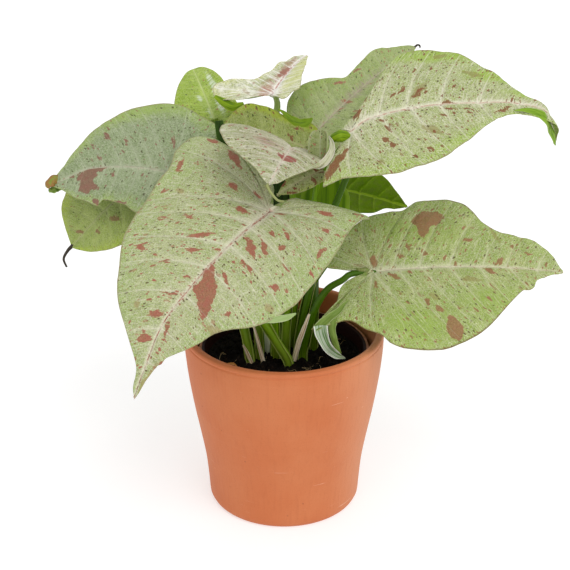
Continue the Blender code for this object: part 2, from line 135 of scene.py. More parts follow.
def linear(colour: Colour) -> tuple[float, float, float, float]:
    """The linear value of a colour given as it looks on a screen, from 0 to 255."""
    shown = np.array(colour, float) / 255
    value = np.where(shown <= 0.04045, shown / 12.92, ((shown + 0.055) / 1.055) ** 2.4)
    return (*value.tolist(), 1.0)


def unit(vector: Array) -> Array:
    """The vectors at length one."""
    vector = np.asarray(vector, float)
    return vector / np.linalg.norm(vector, axis=-1, keepdims=True)


def smooth(value: Array, low: float, high: float) -> Array:
    """Rises softly from 0 at low to 1 at high: 3 t squared minus 2 t cubed."""
    part = np.clip((np.asarray(value, float) - low) / (high - low), 0, 1)
    return part * part * (3 - 2 * part)


def run_along(path: Array) -> Array:
    """The way run at each place of a path: the summed lengths of its steps."""
    return np.concatenate([[0], np.cumsum(np.linalg.norm(np.diff(path, axis=0), axis=1))])


def spread(*values: Array) -> Array:
    """Values spread over one grid and stacked as its last axis."""
    return np.stack(np.broadcast_arrays(*values), -1)


def round_turn(sides: int) -> Array:
    """Even angles round one turn, in radians."""
    return 2 * np.pi * np.arange(sides) / sides


def smooth_line(points: Outline | list | Array, count: int) -> Array:
    """Evenly spaced points along the Catmull-Rom curve through the given points.

    Args:
        points: places that the curve passes through, in order.
        count: how many points to give.

    Returns:
        An array of count rows.
    """
    knots = np.array(points, float)
    knots = np.vstack([2 * knots[0] - knots[1], knots, 2 * knots[-1] - knots[-2]])
    t = np.linspace(0, 1, 16, endpoint=False)[:, None]
    pieces = [b + 0.5 * t * (c - a) + t**2 * (a - 2.5 * b + 2 * c - 0.5 * d)
              + t**3 * (1.5 * (b - c) + 0.5 * (d - a))
              for a, b, c, d in zip(knots, knots[1:], knots[2:], knots[3:])]
    line = np.vstack(pieces + [knots[-2:-1]])
    run = run_along(line)
    even = np.linspace(0, run[-1], count)
    return np.column_stack([np.interp(even, run, line[:, k]) for k in range(line.shape[1])])


def swell(x: Array, y: Array, size: float, seed: int) -> Array:
    """Smooth random unevenness from about -1 to 1, made of ten sine waves in seeded directions.

    Args:
        x: first coordinate of each place.
        y: second coordinate, in the same unit.
        size: how far apart the swells are, in that unit.
        seed: picks the directions and shifts.

    Returns:
        The height at each place.
    """
    draw = np.random.default_rng(seed)
    turn = draw.uniform(0, 2 * np.pi, 10)
    pace = 2 * np.pi / size * draw.uniform(0.6, 1.5, 10)
    shift = draw.uniform(0, 2 * np.pi, 10)
    phase = (x[..., None] * np.cos(turn) + y[..., None] * np.sin(turn)) * pace + shift
    return np.sin(phase).sum(-1) / math.sqrt(20)


def grid_triangles(number: Array) -> Array:
    """Two triangles for each cell of a grid of vertex numbers, without those that shrink to a line."""
    a, b, c, d = number[:-1, :-1], number[1:, :-1], number[1:, 1:], number[:-1, 1:]
    cells = [np.stack([a, b, c], -1).reshape(-1, 3), np.stack([a, c, d], -1).reshape(-1, 3)]
    faces = np.concatenate(cells)
    flat = (faces[:, 0] == faces[:, 1]) | (faces[:, 1] == faces[:, 2]) | (faces[:, 0] == faces[:, 2])
    return faces[~flat]


@dataclass
class Shell:
    """A mesh in the making: vertices, triangles, the finish number of each triangle, and the marks
    that materials read at each vertex."""

    vertices: Array
    triangles: Array
    paint: Array | None = None
    marks: dict[str, Array] = field(default_factory=dict)

    def normals(self) -> Array:
        """The outward direction at each vertex: the sum of its triangles' area vectors, at length one."""
        corners = self.vertices[self.triangles]
        face = np.cross(corners[:, 1] - corners[:, 0], corners[:, 2] - corners[:, 0])
        total = np.zeros_like(self.vertices)
        for corner in range(3):
            for axis in range(3):
                total[:, axis] += np.bincount(self.triangles[:, corner], face[:, axis], len(total))
        return total / np.maximum(np.linalg.norm(total, axis=1, keepdims=True), 1e-12)


def joined(shells: list[Shell]) -> Shell:
    """Several shells as one, with the marks that the first of them has."""
    starts = np.cumsum([0] + [len(shell.vertices) for shell in shells[:-1]])
    triangles = np.concatenate([shell.triangles + start for shell, start in zip(shells, starts)])
    marks = {name: np.concatenate([shell.marks[name] for shell in shells]) for name in shells[0].marks}
    return Shell(np.concatenate([shell.vertices for shell in shells]), triangles, None, marks)


def capped(places: Array) -> Shell:
    """The shell of a grid whose rows are rings, from a point on the axis to another one: each ring is
    closed, and the first and the last are drawn together to a point."""
    number = np.arange(places[..., 0].size).reshape(places.shape[:2])
    number[0] = number[0, 0]
    number[-1] = number[-1, 0]
    number = np.concatenate([number, number[:, :1]], axis=1)
    used, flat = np.unique(grid_triangles(number), return_inverse=True)
    return Shell(places.reshape(-1, 3)[used], flat.reshape(-1, 3))


def turned(profile: Array, sides: int) -> Shell:
    """A turned shell: each (radius, height) pair of the profile is carried once round Z. The profile
    runs from the axis inside, over the rim and back to the axis below, so that the faces point out.

    Args:
        profile: rows of radius and height in metres; the first and the last lie on the axis.
        sides: how many steps one turn has.

    Returns:
        The closed shell.
    """
    angle = round_turn(sides)
    radius, height = profile[:, 0, None], profile[:, 1, None]
    return capped(spread(radius * np.cos(angle), radius * np.sin(angle), height))


def way_mark(across: Array, path: Array) -> Array:
    """The mark "way" of a grid along a path: metres across it, metres along it, and the part of its
    length."""
    run = run_along(path)[:, None]
    return spread(across, run, run / run[-1])


def tube(path: Array, radius: Array, sides: int, side: Array, shape: Array | float = 1.0) -> Shell:
    """A closed tube: at each point of the path a ring across it, and a point in the middle of each end.
    The rings lie in the plane of the side direction and of its cross product with the path.

    Args:
        path: rows of places in metres.
        radius: radius at each place in metres.
        sides: points in a ring.
        side: a direction that is never along the path.
        shape: factor on the radius for each point of a ring.

    Returns:
        The shell, with the marks "way" and "rim", which is 0.
    """
    ahead = unit(np.gradient(path, axis=0))
    across = unit(side - ahead * (ahead @ side)[:, None])
    other = np.cross(ahead, across)
    angle = round_turn(sides)
    reach = radius[:, None, None] * (shape * np.ones(sides))[None, :, None]
    ring = np.cos(angle)[None, :, None] * across[:, None] + np.sin(angle)[None, :, None] * other[:, None]
    places = path[:, None] + reach * ring
    number = np.arange(len(path) * sides).reshape(len(path), sides)
    first, last = number.size, number.size + 1
    number = np.concatenate([np.full((1, sides), first), number, np.full((1, sides), last)])
    number = np.concatenate([number, number[:, :1]], axis=1)
    vertices = np.concatenate([places.reshape(-1, 3), path[:1], path[-1:]])
    way = way_mark(angle * TUBE_ROUND, path)
    marks = np.concatenate([way.reshape(-1, 3), [[0, 0, 0], [0, way[-1, 0, 1], 1]]])
    return Shell(vertices, grid_triangles(number)[:, ::-1], None, {"way": marks, "rim": 0 * marks[:, 0]})


def ribbon(path: Array, side: Array, width: Array, curl: Array, thickness: float) -> Shell:
    """A thin closed strip along a path. Across it bends round an arc whose whole turn is the curl.

    Args:
        path: rows of places along its middle, in metres.
        side: its sideways direction at each place, of length one.
        width: its width at each place in metres.
        curl: the turn of its cross-section at each place in degrees.
        thickness: in metres.

    Returns:
        The shell, with the marks "way" and "rim", which is 0 in the middle and 1 at the margins.
    """
    part = np.linspace(-0.5, 0.5, 13)
    ahead = unit(np.gradient(path, axis=0))
    up = unit(np.cross(side, ahead))
    turn = np.radians(np.where(np.abs(curl) < 0.1, 0.1, curl))[:, None]
    reach = width[:, None] / turn * np.sin(turn * part)
    lift = width[:, None] / turn * (1 - np.cos(turn * part))
    top = path[:, None] + reach[..., None] * side[:, None] + lift[..., None] * up[:, None]
    rows, columns = reach.shape
    number = np.arange(rows * columns).reshape(rows, columns)
    way = way_mark(width[:, None] * part, path)
    upper = Shell(top.reshape(-1, 3), grid_triangles(number))
    lower = upper.vertices - upper.normals() * thickness
    loop = np.concatenate([number[:, 0], number[-1, 1:], number[::-1, -1][1:], number[0, ::-1][1:]])
    walls = grid_triangles(np.stack([loop, loop + number.size]))
    triangles = np.concatenate([upper.triangles, upper.triangles[:, ::-1] + number.size, walls])
    marks = {"way": np.concatenate([way.reshape(-1, 3)] * 2),
             "rim": np.tile(np.abs(2 * part), 2 * rows)}
    return Shell(np.concatenate([upper.vertices, lower]), triangles, None, marks)


def shown(name: str, data: bpy.types.ID) -> bpy.types.Object:
    """A new object of the scene that shows the data."""
    result = bpy.data.objects.new(name, data)
    bpy.context.scene.collection.objects.link(result)
    return result


def place(name: str, shell: Shell, finishes: list[Material], slot: str, *nodes: str,
          crease: float = 50.0) -> bpy.types.Object:
    """Puts a shell into the scene as a piece that rides on the frame, and logs it.

    Args:
        name: the piece's name.
        shell: what it is made of.
        finishes: its materials, in the order of the shell's finish numbers.
        slot: the record's material slot of the piece; not used.
        nodes: the frame's nodes that it stands for.
        crease: edges that bend more than this many degrees stay sharp.

    Returns:
        The object, at the origin, with its place in its mesh.
    """
    mesh = bpy.data.meshes.new(name)
    count = len(shell.triangles)
    mesh.vertices.add(len(shell.vertices))
    mesh.vertices.foreach_set("co", shell.vertices.astype(np.float32).ravel())
    mesh.loops.add(3 * count)
    mesh.loops.foreach_set("vertex_index", shell.triangles.astype(np.int32).ravel())
    mesh.polygons.add(count)
    mesh.polygons.foreach_set("loop_start", np.arange(0, 3 * count, 3, dtype=np.int32))
    for finish in finishes:
        mesh.materials.append(finish)
    if shell.paint is not None:
        mesh.polygons.foreach_set("material_index", shell.paint.astype(np.int32))
    mesh.update(calc_edges=True)
    mesh.shade_smooth()
    mesh.set_sharp_from_angle(angle=math.radians(crease))
    for mark, values in shell.marks.items():
        vector = values.ndim == 2
        layer = mesh.attributes.new(mark, "FLOAT_VECTOR" if vector else "FLOAT", "POINT")
        layer.data.foreach_set("vector" if vector else "value", values.astype(np.float32).ravel())
    result = shown(name, mesh)
    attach(result, BODY)
    if nodes:
        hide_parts(*nodes)
    LOG.info("%s: %d triangles", name, count)
    return result


class Graph:
    """A material's nodes, made by short calls. A value is a number, a colour or another node's output."""

    def __init__(self, name: str, roughness: float, gloss: float) -> None:
        """Starts a material with one plain shader.

        Args:
            name: the material's name.
            roughness: the shader's roughness.
            gloss: its specular level.
        """
        self.material = bpy.data.materials.new(name)
        self.material.use_nodes = True
        self.tree = self.material.node_tree
        self.shader = self.tree.nodes["Principled BSDF"]
        self.put(self.shader, {"Roughness": roughness, "Specular IOR Level": gloss})

    def put(self, node: bpy.types.Node, inputs: dict) -> None:
        """Gives a node its inputs, by socket name or number: an output is linked and a value written."""
        for name, value in inputs.items():
            if isinstance(value, Socket):
                self.tree.links.new(value, node.inputs[name])
            else:
                node.inputs[name].default_value = value

    def node(self, kind: str, inputs: dict, **settings: object) -> bpy.types.Node:
        """Adds a node.

        Args:
            kind: the node's type without ShaderNode.
            inputs: values by socket name or number.
            settings: the node's own settings.

        Returns:
            The node.
        """
        node = self.tree.nodes.new("ShaderNode" + kind)
        for name, value in settings.items():
            setattr(node, name, value)
        self.put(node, inputs)
        return node

    def mark(self, name: str, part: str = "Fac") -> Socket:
        """A mark of the piece: one number, or three where the part is Vector."""
        return self.node("Attribute", {}, attribute_name=name).outputs[part]

    def spot(self) -> Socket:
        """The place in the object's own coordinates, in metres."""
        return self.node("TexCoord", {}).outputs["Object"]

    def axis(self, vector: object, number: int) -> Socket:
        """One of a vector's three numbers."""
        return self.node("SeparateXYZ", {0: vector}).outputs[number]

    def maths(self, operation: str, *values: object) -> Socket:
        """The result of a Math node."""
        return self.node("Math", dict(enumerate(values)), operation=operation).outputs[0]

    def times(self, first: object, second: object) -> Socket:
        """The product of two values."""
        return self.maths("MULTIPLY", first, second)

    def frayed(self, value: object, noise: object, reach: float) -> Socket:
        """The value with noise on it: plus the reach times the noise less a half."""
        return self.maths("ADD", value, self.maths("MULTIPLY_ADD", noise, reach, -reach / 2))

    def mix(self, share: object, first: object, second: object) -> Socket:
        """A colour between two, each given as it looks on a screen or as another node's output."""
        pair = [linear(value) if isinstance(value, tuple) else value for value in (first, second)]
        return self.node("Mix", {0: share, 6: pair[0], 7: pair[1]}, data_type="RGBA").outputs[2]

    def step(self, value: object, low: float, high: float, bottom: float = 0.0, top: float = 1.0) -> Socket:
        """Rises softly from bottom at low to top at high."""
        inputs = {0: value, 1: low, 2: high, 3: bottom, 4: top}
        return self.node("MapRange", inputs, interpolation_type="SMOOTHSTEP").outputs[0]

    def laid(self, under: object, over: object, value: object, low: float, high: float,
             most: float = 1.0) -> Socket:
        """One colour laid over another: none of it where the value is low, and the most at high."""
        return self.mix(self.step(value, low, high, 0.0, most), under, over)

    def scaled(self, vector: object, scale: Point, shift: Point = (0.0, 0.0, 0.0)) -> Socket:
        """The vector times a scale along each axis, moved by a shift."""
        return self.node("Mapping", {0: vector, 1: shift, 3: scale}).outputs[0]

    def pattern(self, vector: object, scale: float | Point) -> dict:
        """The inputs that place a pattern by one scale, or by a scale along each axis."""
        if isinstance(scale, tuple):
            return {"Vector": self.scaled(vector, scale), "Scale": 1.0}
        return {"Vector": vector, "Scale": scale}

    def noise(self, vector: object, scale: float | Point, detail: float = 2.0, rough: float = 0.5) -> Socket:
        """Soft random values about 0.5."""
        inputs = {**self.pattern(vector, scale), "Detail": detail, "Roughness": rough}
        return self.node("TexNoise", inputs).outputs[0]

    def cells(self, vector: object, scale: float | Point, feature: str = "F1") -> bpy.types.Node:
        """A cell pattern: the distance to the nearest cell's middle or edge, and the cell's own value."""
        return self.node("TexVoronoi", self.pattern(vector, scale), feature=feature)

    def warped(self, vector: object, scale: float, reach: float) -> Socket:
        """The vector pushed about by noise of the given scale, by up to about half the reach."""
        push = self.node("TexNoise", {"Vector": vector, "Scale": scale, "Detail": 2.0}).outputs["Color"]
        inputs = {0: push, 1: (reach, reach, 0.0), 2: vector}
        return self.node("VectorMath", inputs, operation="MULTIPLY_ADD").outputs[0]

    def drawn(self, cells: bpy.types.Node, channel: int) -> Socket:
        """A cell's own random value from 0 to 1."""
        return self.node("SeparateColor", {0: cells.outputs["Color"]}).outputs[channel]

    def spots(self, cells: bpy.types.Node, share: float, size: float, noise: object, fray: float) -> Socket:
        """Spots at the middles of a share of the cells: where the distance, frayed by noise, is less
        than a size that each cell draws.

        Args:
            cells: the cell pattern.
            share: part of the cells that have a spot.
            size: the largest spot's radius in the pattern's own unit.
            noise: what makes the edges ragged.
            fray: how far it moves them, in the pattern's own unit.

        Returns:
            1 inside spots and 0 outside.
        """
        kept = self.step(self.drawn(cells, 1), share + 0.01, share)
        radius = self.maths("POWER", self.drawn(cells, 0), 1.6)
        radius = self.maths("MULTIPLY_ADD", radius, 0.75 * size, 0.25 * size)
        away = self.maths("SUBTRACT", self.frayed(cells.outputs["Distance"], noise, fray), radius)
        return self.times(self.step(away, 0.035, -0.035), kept)

    def finished(self, colour: object, height: object, depth: float) -> Material:
        """The material, with its colour and with a surface that is uneven by a height times a depth in
        metres."""
        bump = self.node("Bump", {"Height": height, "Distance": depth}).outputs[0]
        self.put(self.shader, {"Base Color": colour, "Normal": bump})
        return self.material


class Side(Enum):
    """The two faces of a blade."""

    UPPER = 0
    LOWER = 1


class FacePatterns:
    """The patterns that the colours of one face of a blade are laid by, each made once."""

    def __init__(self, graph: Graph, seed: float) -> None:
        """Reads the blade's marks, in millimetres, and makes the noises.

        Args:
            graph: the material's nodes.
            seed: moves every pattern.
        """
        self.graph = graph
        shift = (seed, 2 * seed, 3 * seed)
        flat = graph.scaled(graph.mark("flat", "Vector"), (1.0, 1.0, 1.0), shift)
        self.row = graph.scaled(graph.mark("row", "Vector"), (1.0, 1.0, 1.0), shift)
        self.vein = graph.mark("vein")
        self.reach = graph.mark("reach")
        self.spine = graph.mark("spine")
        self.tint = graph.mark("blush_and_sheen")
        self.cloud = graph.noise(flat, 0.06, 3.0, 0.6)
        self.blotch = graph.noise(flat, 0.30, 3.0, 0.6)
        self.grain = graph.noise(flat, 1.1, 3.0, 0.65)
        self.fine = graph.noise(graph.warped(self.row, 0.12, 2.5), (0.95, 0.085, 1.0), 4.0, 0.62)
        edges = graph.cells(graph.warped(flat, 0.35, 2.0), 0.42, "DISTANCE_TO_EDGE").outputs["Distance"]
        self.net = graph.times(graph.step(edges, 0.12, 0.0), graph.step(self.blotch, 0.3, 0.65, 0.3, 1.0))
        self.broken = graph.frayed(self.vein, self.grain, 1.6)
        self.line = graph.times(graph.step(self.broken, 0.75, 0.10),
                                graph.step(self.blotch, 0.30, 0.6, 0.15, 1.0))
        ridge = graph.maths("MULTIPLY_ADD", self.grain, 0.4, graph.maths("SUBTRACT", self.spine, 0.2))
        self.ridge = graph.step(ridge, 1.05, 0.55)


@dataclass(frozen=True)
class LeafFinish:
    """The colours of a blade and how much of each marking it has."""

    name: str
    body: Colour
    shade: Colour
    edge: Colour
    vein: Colour
    midrib: Colour
    under: Colour
    blush_and_sheen: Colour = (226, 212, 196)
    patch: Colour = (160, 104, 84)
    rim: Colour = (150, 140, 100)
    speck: Colour = (84, 92, 50)
    flecks: float = 0.35
    specks: float = 0.55
    streaks: float = 0.35
    lines: float = 0.5
    gloss: float = 0.30
    seed: float = 0.0

    def body_colour(self, face: FacePatterns) -> tuple[Socket, Socket]:
        """The clouded body of both faces, greener between the side veins and toward the margin, with a
        net of fine pale veins and dim specks. The second colour is the specks' own."""
        graph = face.graph
        colour = graph.laid(self.body, self.shade, face.cloud, 0.36, 0.64)
        colour = graph.laid(colour, self.shade, face.blotch, 0.42, 0.66, 0.55)
        between = graph.times(graph.step(face.vein, 1.5, 6.5), graph.step(face.reach, 0.05, 0.6, 0.25, 1.0))
        colour = graph.mix(graph.times(between, 0.34), colour, self.shade)
        colour = graph.laid(colour, self.edge, graph.frayed(face.reach, face.cloud, 0.5), 0.70, 1.0, 0.8)
        colour = graph.laid(colour, self.vein, face.grain, 0.46, 0.70, 0.55)
        dim = graph.mix(0.62, colour, self.speck)
        colour = graph.laid(colour, dim, face.grain, 0.50, 0.30, 0.75)
        patches = graph.noise(face.row, (0.42, 0.22, 1.0), 3.0, 0.7)
        colour = graph.laid(colour, dim, patches, 0.50, 0.32, 0.50)
        colour = graph.mix(graph.times(face.net, 0.45), colour, self.vein)
        greener = graph.maths("MULTIPLY_ADD", face.tint, -1.0, -0.4)
        greener = graph.maths("MULTIPLY_ADD", face.blotch, 0.8, greener)
        return graph.laid(colour, self.edge, greener, 0.05, 0.9, 0.72), dim

    def dots(self, face: FacePatterns) -> tuple[Socket, Socket]:
        """Small dots that are denser in some clouds, as their share and their colour."""
        graph = face.graph
        cells = graph.cells(graph.warped(face.row, 0.5, 1.6), (0.56, 0.38, 1.0))
        dot = graph.spots(cells, 0.25 + 0.45 * self.specks, 0.22 + 0.18 * self.specks, face.grain, 0.30)
        dot = graph.times(dot, graph.step(face.cloud, 0.66 - 0.5 * self.specks, 0.80 - 0.5 * self.specks))
        dot = graph.times(dot, graph.step(graph.drawn(cells, 0), 0.0, 0.8, 0.5, 0.88))
        return dot, graph.laid(self.speck, self.patch, graph.drawn(cells, 2), 0.64, 0.72)

    def streaked(self, face: FacePatterns, colour: Socket) -> Socket:
        """The upper face's body with streaks along the side veins, a soft halo round the veins, blushed
        zones, painted highlights of sheen and dull stains."""
        graph = face.graph
        colour = graph.laid(colour, self.vein, face.fine, 0.50, 0.70, self.streaks)
        colour = graph.laid(colour, self.shade, face.fine, 0.44, 0.30, 0.8 * self.streaks)
        halo = graph.times(graph.step(face.broken, 3.4, 0.2), graph.step(face.reach, 0.0, 0.9, 0.50, 0.12))
        halo = graph.times(halo, graph.step(face.cloud, 0.35, 0.6, 0.45, 1.0))
        colour = graph.mix(graph.times(halo, 1.4 * self.lines), colour, self.vein)
        beside = graph.maths("MULTIPLY_ADD", face.fine, 3.0, graph.maths("SUBTRACT", face.spine, 1.5))
        colour = graph.laid(colour, self.vein, beside, 4.5, 0.4, 1.2 * self.lines)
        # Blushes and sheens: tinted zones, and on the back left leaf partly a painted highlight of white
        # sheen along the fold
        blush_and_sheen = graph.frayed(graph.times(graph.maths("MINIMUM", face.tint, 0.78), 0.8), face.fine, 1.6)
        blush_and_sheen = graph.times(graph.step(blush_and_sheen, 0.22, 0.85), graph.step(face.tint, 0.02, 0.2, 0.0, 0.90))
        colour = graph.mix(blush_and_sheen, colour, self.blush_and_sheen)
        stain = graph.frayed(graph.mark("stain"), face.fine, 2.0)
        return graph.laid(colour, graph.mix(0.45, self.patch, self.shade), stain, 0.4, -0.5, 0.62)

    def flecked(self, face: FacePatterns, colour: Socket) -> Socket:
        """The upper face with its flecks and blots, its bright midrib and a thin rim."""
        graph = face.graph
        fringe = graph.noise(graph.warped(face.row, 0.3, 1.5), (0.80, 0.26, 1.0), 4.0, 0.65)
        cells = graph.cells(graph.warped(face.row, 0.25, 4.0), (0.33, 0.17, 1.0))
        fleck = graph.spots(cells, 0.9 * self.flecks, 0.34, fringe, 0.60)
        fleck = graph.times(fleck, graph.step(graph.drawn(cells, 2), 0.0, 0.7, 0.5, 0.95))
        blot = graph.step(graph.frayed(graph.mark("blot"), fringe, 4.0), 0.20, -0.20, 0.0, 0.96)
        tone = graph.laid(self.patch, graph.mix(0.26, self.patch, self.shade), face.blotch, 0.35, 0.62, 0.5)
        tone = graph.laid(tone, graph.mix(0.35, self.patch, self.speck), face.grain, 0.48, 0.28, 0.6)
        tone = graph.laid(tone, self.vein, face.grain, 0.52, 0.80, 0.16)
        colour = graph.mix(fleck, colour, tone)
        colour = graph.mix(blot, colour, graph.mix(graph.times(face.line, 0.2), tone, self.vein))
        bright = graph.times(face.ridge, graph.step(face.grain, 0.2, 0.6, 0.45, 0.95))
        pale = graph.laid(self.midrib, self.vein, face.blotch, 0.36, 0.62, 0.85)
        colour = graph.mix(bright, colour, pale)
        return graph.laid(colour, self.rim, graph.frayed(face.reach, fringe, 0.03), 0.978, 0.992, 0.65)

    def material(self, side: Side) -> Material:
        """The finish of one face of a blade: the upper one in full, and the lower one plainer and
        greener, with paler ribs.

        Args:
            side: which face it is for.

        Returns:
            The material.
        """
        graph = Graph(f"{self.name}_{side.name.lower()}", 0.48, self.gloss)
        face = FacePatterns(graph, self.seed)
        colour, dim = self.body_colour(face)
        dot, dot_colour = self.dots(face)
        if side is Side.LOWER:
            colour = graph.mix(0.85, colour, graph.laid(self.under, dim, face.blotch, 0.3, 0.7))
            colour = graph.mix(graph.times(face.line, 0.40), colour, self.vein)
            colour = graph.mix(graph.times(face.ridge, 0.55), colour, self.vein)
            colour = graph.mix(graph.times(dot, 0.5), colour, dot_colour)
            return graph.finished(colour, graph.maths("ADD", face.net, face.grain), 0.00012)
        colour = graph.mix(dot, self.streaked(face, colour), dot_colour)
        colour = graph.mix(graph.times(face.line, 1.1 * self.lines), colour, self.vein)
        height = graph.maths("ADD", graph.times(face.net, -0.8), graph.maths("ADD", face.grain, face.fine))
        return graph.finished(self.flecked(face, colour), height, 0.00034)


@dataclass(frozen=True)
class StalkFinish:
    """A leaf stalk: deep green above and pale near the soil, with fine lines along it and pale papery
    margins on its sheath."""

    name: str
    top: Colour
    middle: Colour
    base: Colour
    dark: Colour = (44, 66, 10)
    margin: Colour = (198, 208, 120)

    def material(self) -> Material:
        """Mixes the colours by the part of the length, with stretched noise as lines along the stalk."""
        graph = Graph(self.name, 0.38, 0.22)
        way = graph.mark("way", "Vector")
        lines = graph.noise(way, (1500.0, 40.0, 0.0), 3.0)
        cloud = graph.noise(way, (200.0, 90.0, 0.0))
        wander = graph.frayed(graph.axis(way, 2), lines, 0.2)
        colour = graph.laid(self.base, self.middle, wander, 0.08, 0.30)
        colour = graph.laid(colour, self.top, wander, 0.28, 0.80)
        colour = graph.laid(colour, self.dark, lines, 0.52, 0.72, 0.6)
        colour = graph.laid(colour, self.base, lines, 0.44, 0.26, 0.5)
        colour = graph.laid(colour, self.base, cloud, 0.55, 0.75, 0.25)
        colour = graph.laid(colour, self.margin, graph.mark("rim"), 0.88, 0.97, 0.75)
        return graph.finished(colour, lines, 0.00025)


@dataclass(frozen=True)
class StripFinish:
    """A strip with lines along it: a body, its lines and its margins."""

    name: str
    body: Colour
    line: Colour
    rim: Colour | None = None
    across: float = 1500.0
    along: float = 45.0

    def material(self) -> Material:
        """Mixes the body and the lines by noise that is stretched along the piece."""
        graph = Graph(self.name, 0.52, 0.15)
        lines = graph.noise(graph.mark("way", "Vector"), (self.across, self.along, 0.0), 3.0, 0.6)
        colour = graph.laid(self.body, self.line, lines, 0.44, 0.60)
        margin = graph.frayed(graph.mark("rim"), lines, 0.2)
        colour = graph.laid(colour, self.rim or self.body, margin, 0.80, 0.90, 0.95)
        return graph.finished(colour, lines, 0.0003)


@dataclass(frozen=True)
class ClayFinish:
    """Fired clay: warm orange with cloudy tone, fine grains, pits with painted shade in them, faint upright
    marks, a few pale scuffs and spots of lime, and painted light on the side toward +X."""

    name: str = "terracotta"
    body: Colour = (196, 109, 62)
    light: Colour = (206, 128, 82)
    dark: Colour = (168, 84, 44)
    # Painted light: the paler colour of the side toward +X, where the key light falls
    lit_side: Colour = (222, 158, 118)
    # Painted shade: the darker colour inside the small pits
    pit_shade: Colour = (120, 62, 38)
    lime: Colour = (240, 206, 182)

    def material(self) -> Material:
        """Layers patterns from coarse to fine, and paints light on the clay toward +X."""
        graph = Graph(self.name, 0.62, 0.35)
        spot = graph.spot()
        cloud = graph.noise(spot, 18.0, 4.0, 0.6)
        grain = graph.noise(spot, 900.0, 3.0, 0.7)
        marks = graph.noise(spot, (420.0, 420.0, 26.0), 3.0, 0.6)
        bands = graph.noise(spot, (6.0, 6.0, 240.0))
        colour = graph.laid(self.body, self.light, cloud, 0.36, 0.70, 0.42)
        # Painted light and reflection: the clay turns paler toward +X, where the key light and the pale
        # room's reflection fall
        colour = graph.laid(colour, self.lit_side, graph.axis(spot, 0), 0.028, 0.062, 0.45)
        colour = graph.laid(colour, self.dark, marks, 0.46, 0.80, 0.17)
        colour = graph.laid(colour, self.light, bands, 0.56, 0.78, 0.12)
        colour = graph.laid(colour, self.dark, grain, 0.52, 0.76, 0.30)
        # Painted shade in the small pits, which the bump also sinks
        pits = graph.cells(spot, 150.0)
        pit = graph.times(graph.step(pits.outputs["Distance"], 0.10, 0.03),
                          graph.step(graph.drawn(pits, 1), 0.80, 0.86))
        colour = graph.mix(graph.times(pit, 0.5), colour, self.pit_shade)
        lime = graph.cells(spot, (60.0, 60.0, 190.0))
        away = graph.maths("ADD", lime.outputs["Distance"], graph.times(grain, 0.3))
        spots = graph.times(graph.step(away, 0.22, 0.14), graph.step(graph.drawn(lime, 2), 0.925, 0.94))
        colour = graph.mix(graph.times(spots, 0.75), colour, self.lime)
        # So slow a noise only leans and moves the scuffs
        wander = graph.scaled(graph.warped(spot, 0.006, 60.0), (26.0, 26.0, 620.0), (2.0, 0.0, 0.0))
        wear_and_lip_highlight = graph.scaled(spot, (24.0, 24.0, 52.0), (5.0, 1.0, 3.0))
        scuff = graph.times(graph.step(graph.noise(wander, 1.0, 3.0, 0.65), 0.64, 0.74),
                            graph.step(graph.noise(wear_and_lip_highlight, 1.0), 0.56, 0.64))
        colour = graph.mix(graph.times(scuff, 0.65), colour, self.lime)
        height = graph.maths("ADD", graph.times(grain, 0.6), marks)
        return graph.finished(colour, graph.maths("SUBTRACT", height, graph.times(pit, 2.0)), 0.00022)


@dataclass(frozen=True)
class PlasticFinish:
    """Thin brown plastic, dark on its wall, with a painted highlight along the outer edge of its lip."""

    name: str = "brown_plastic"
    body: Colour = (34, 12, 9)
    dust: Colour = (50, 24, 18)
    # Painted highlight: the pale colour of the lip's outer edge
    lip: Colour = (222, 164, 148)

    def material(self) -> Material:
        """Adds dust by noise, and a painted highlight on the edge beyond a radius and above a height."""
        graph = Graph(self.name, 0.45, 0.08)
        spot = graph.spot()
        dust = graph.noise(spot, 160.0, 4.0, 0.65)
        level = graph.scaled(spot, (1.0, 1.0, 0.0))
        radius = graph.node("VectorMath", {0: level}, operation="LENGTH").outputs["Value"]
        # Painted highlight along the outer upper edge of the lip, broken up by the dust
        outer = graph.step(radius, NURSERY_RIM_RADIUS - 0.0022, NURSERY_RIM_RADIUS - 0.0014)
        upper = graph.step(graph.axis(spot, 2), NURSERY_RIM_HEIGHT - 0.0012, NURSERY_RIM_HEIGHT - 0.0004)
        wear_and_lip_highlight = graph.times(graph.times(outer, upper), graph.step(dust, 0.2, 0.6, 0.5, 0.9))
        colour = graph.mix(wear_and_lip_highlight, graph.laid(self.body, self.dust, dust, 0.45, 0.8, 0.6), self.lip)
        return graph.finished(colour, dust, 0.0001)


@dataclass(frozen=True)
class SoilFinish:
    """Damp dark potting mix, near black between brown crumbs."""

    name: str
    dark: Colour = (16, 11, 9)
    brown: Colour = (58, 40, 28)

    def material(self) -> Material:
        """Mixes the two colours by fine noise and gives the surface its grain."""
        graph = Graph(self.name, 0.95, 0.15)
        spot = graph.spot()
        grain = graph.noise(spot, 700.0, 5.0, 0.7)
        cloud = graph.noise(spot, 90.0, 3.0)
        share = graph.times(graph.step(grain, 0.45, 0.75), graph.step(cloud, 0.35, 0.75))
        return graph.finished(graph.mix(share, self.dark, self.brown), grain, 0.0008)


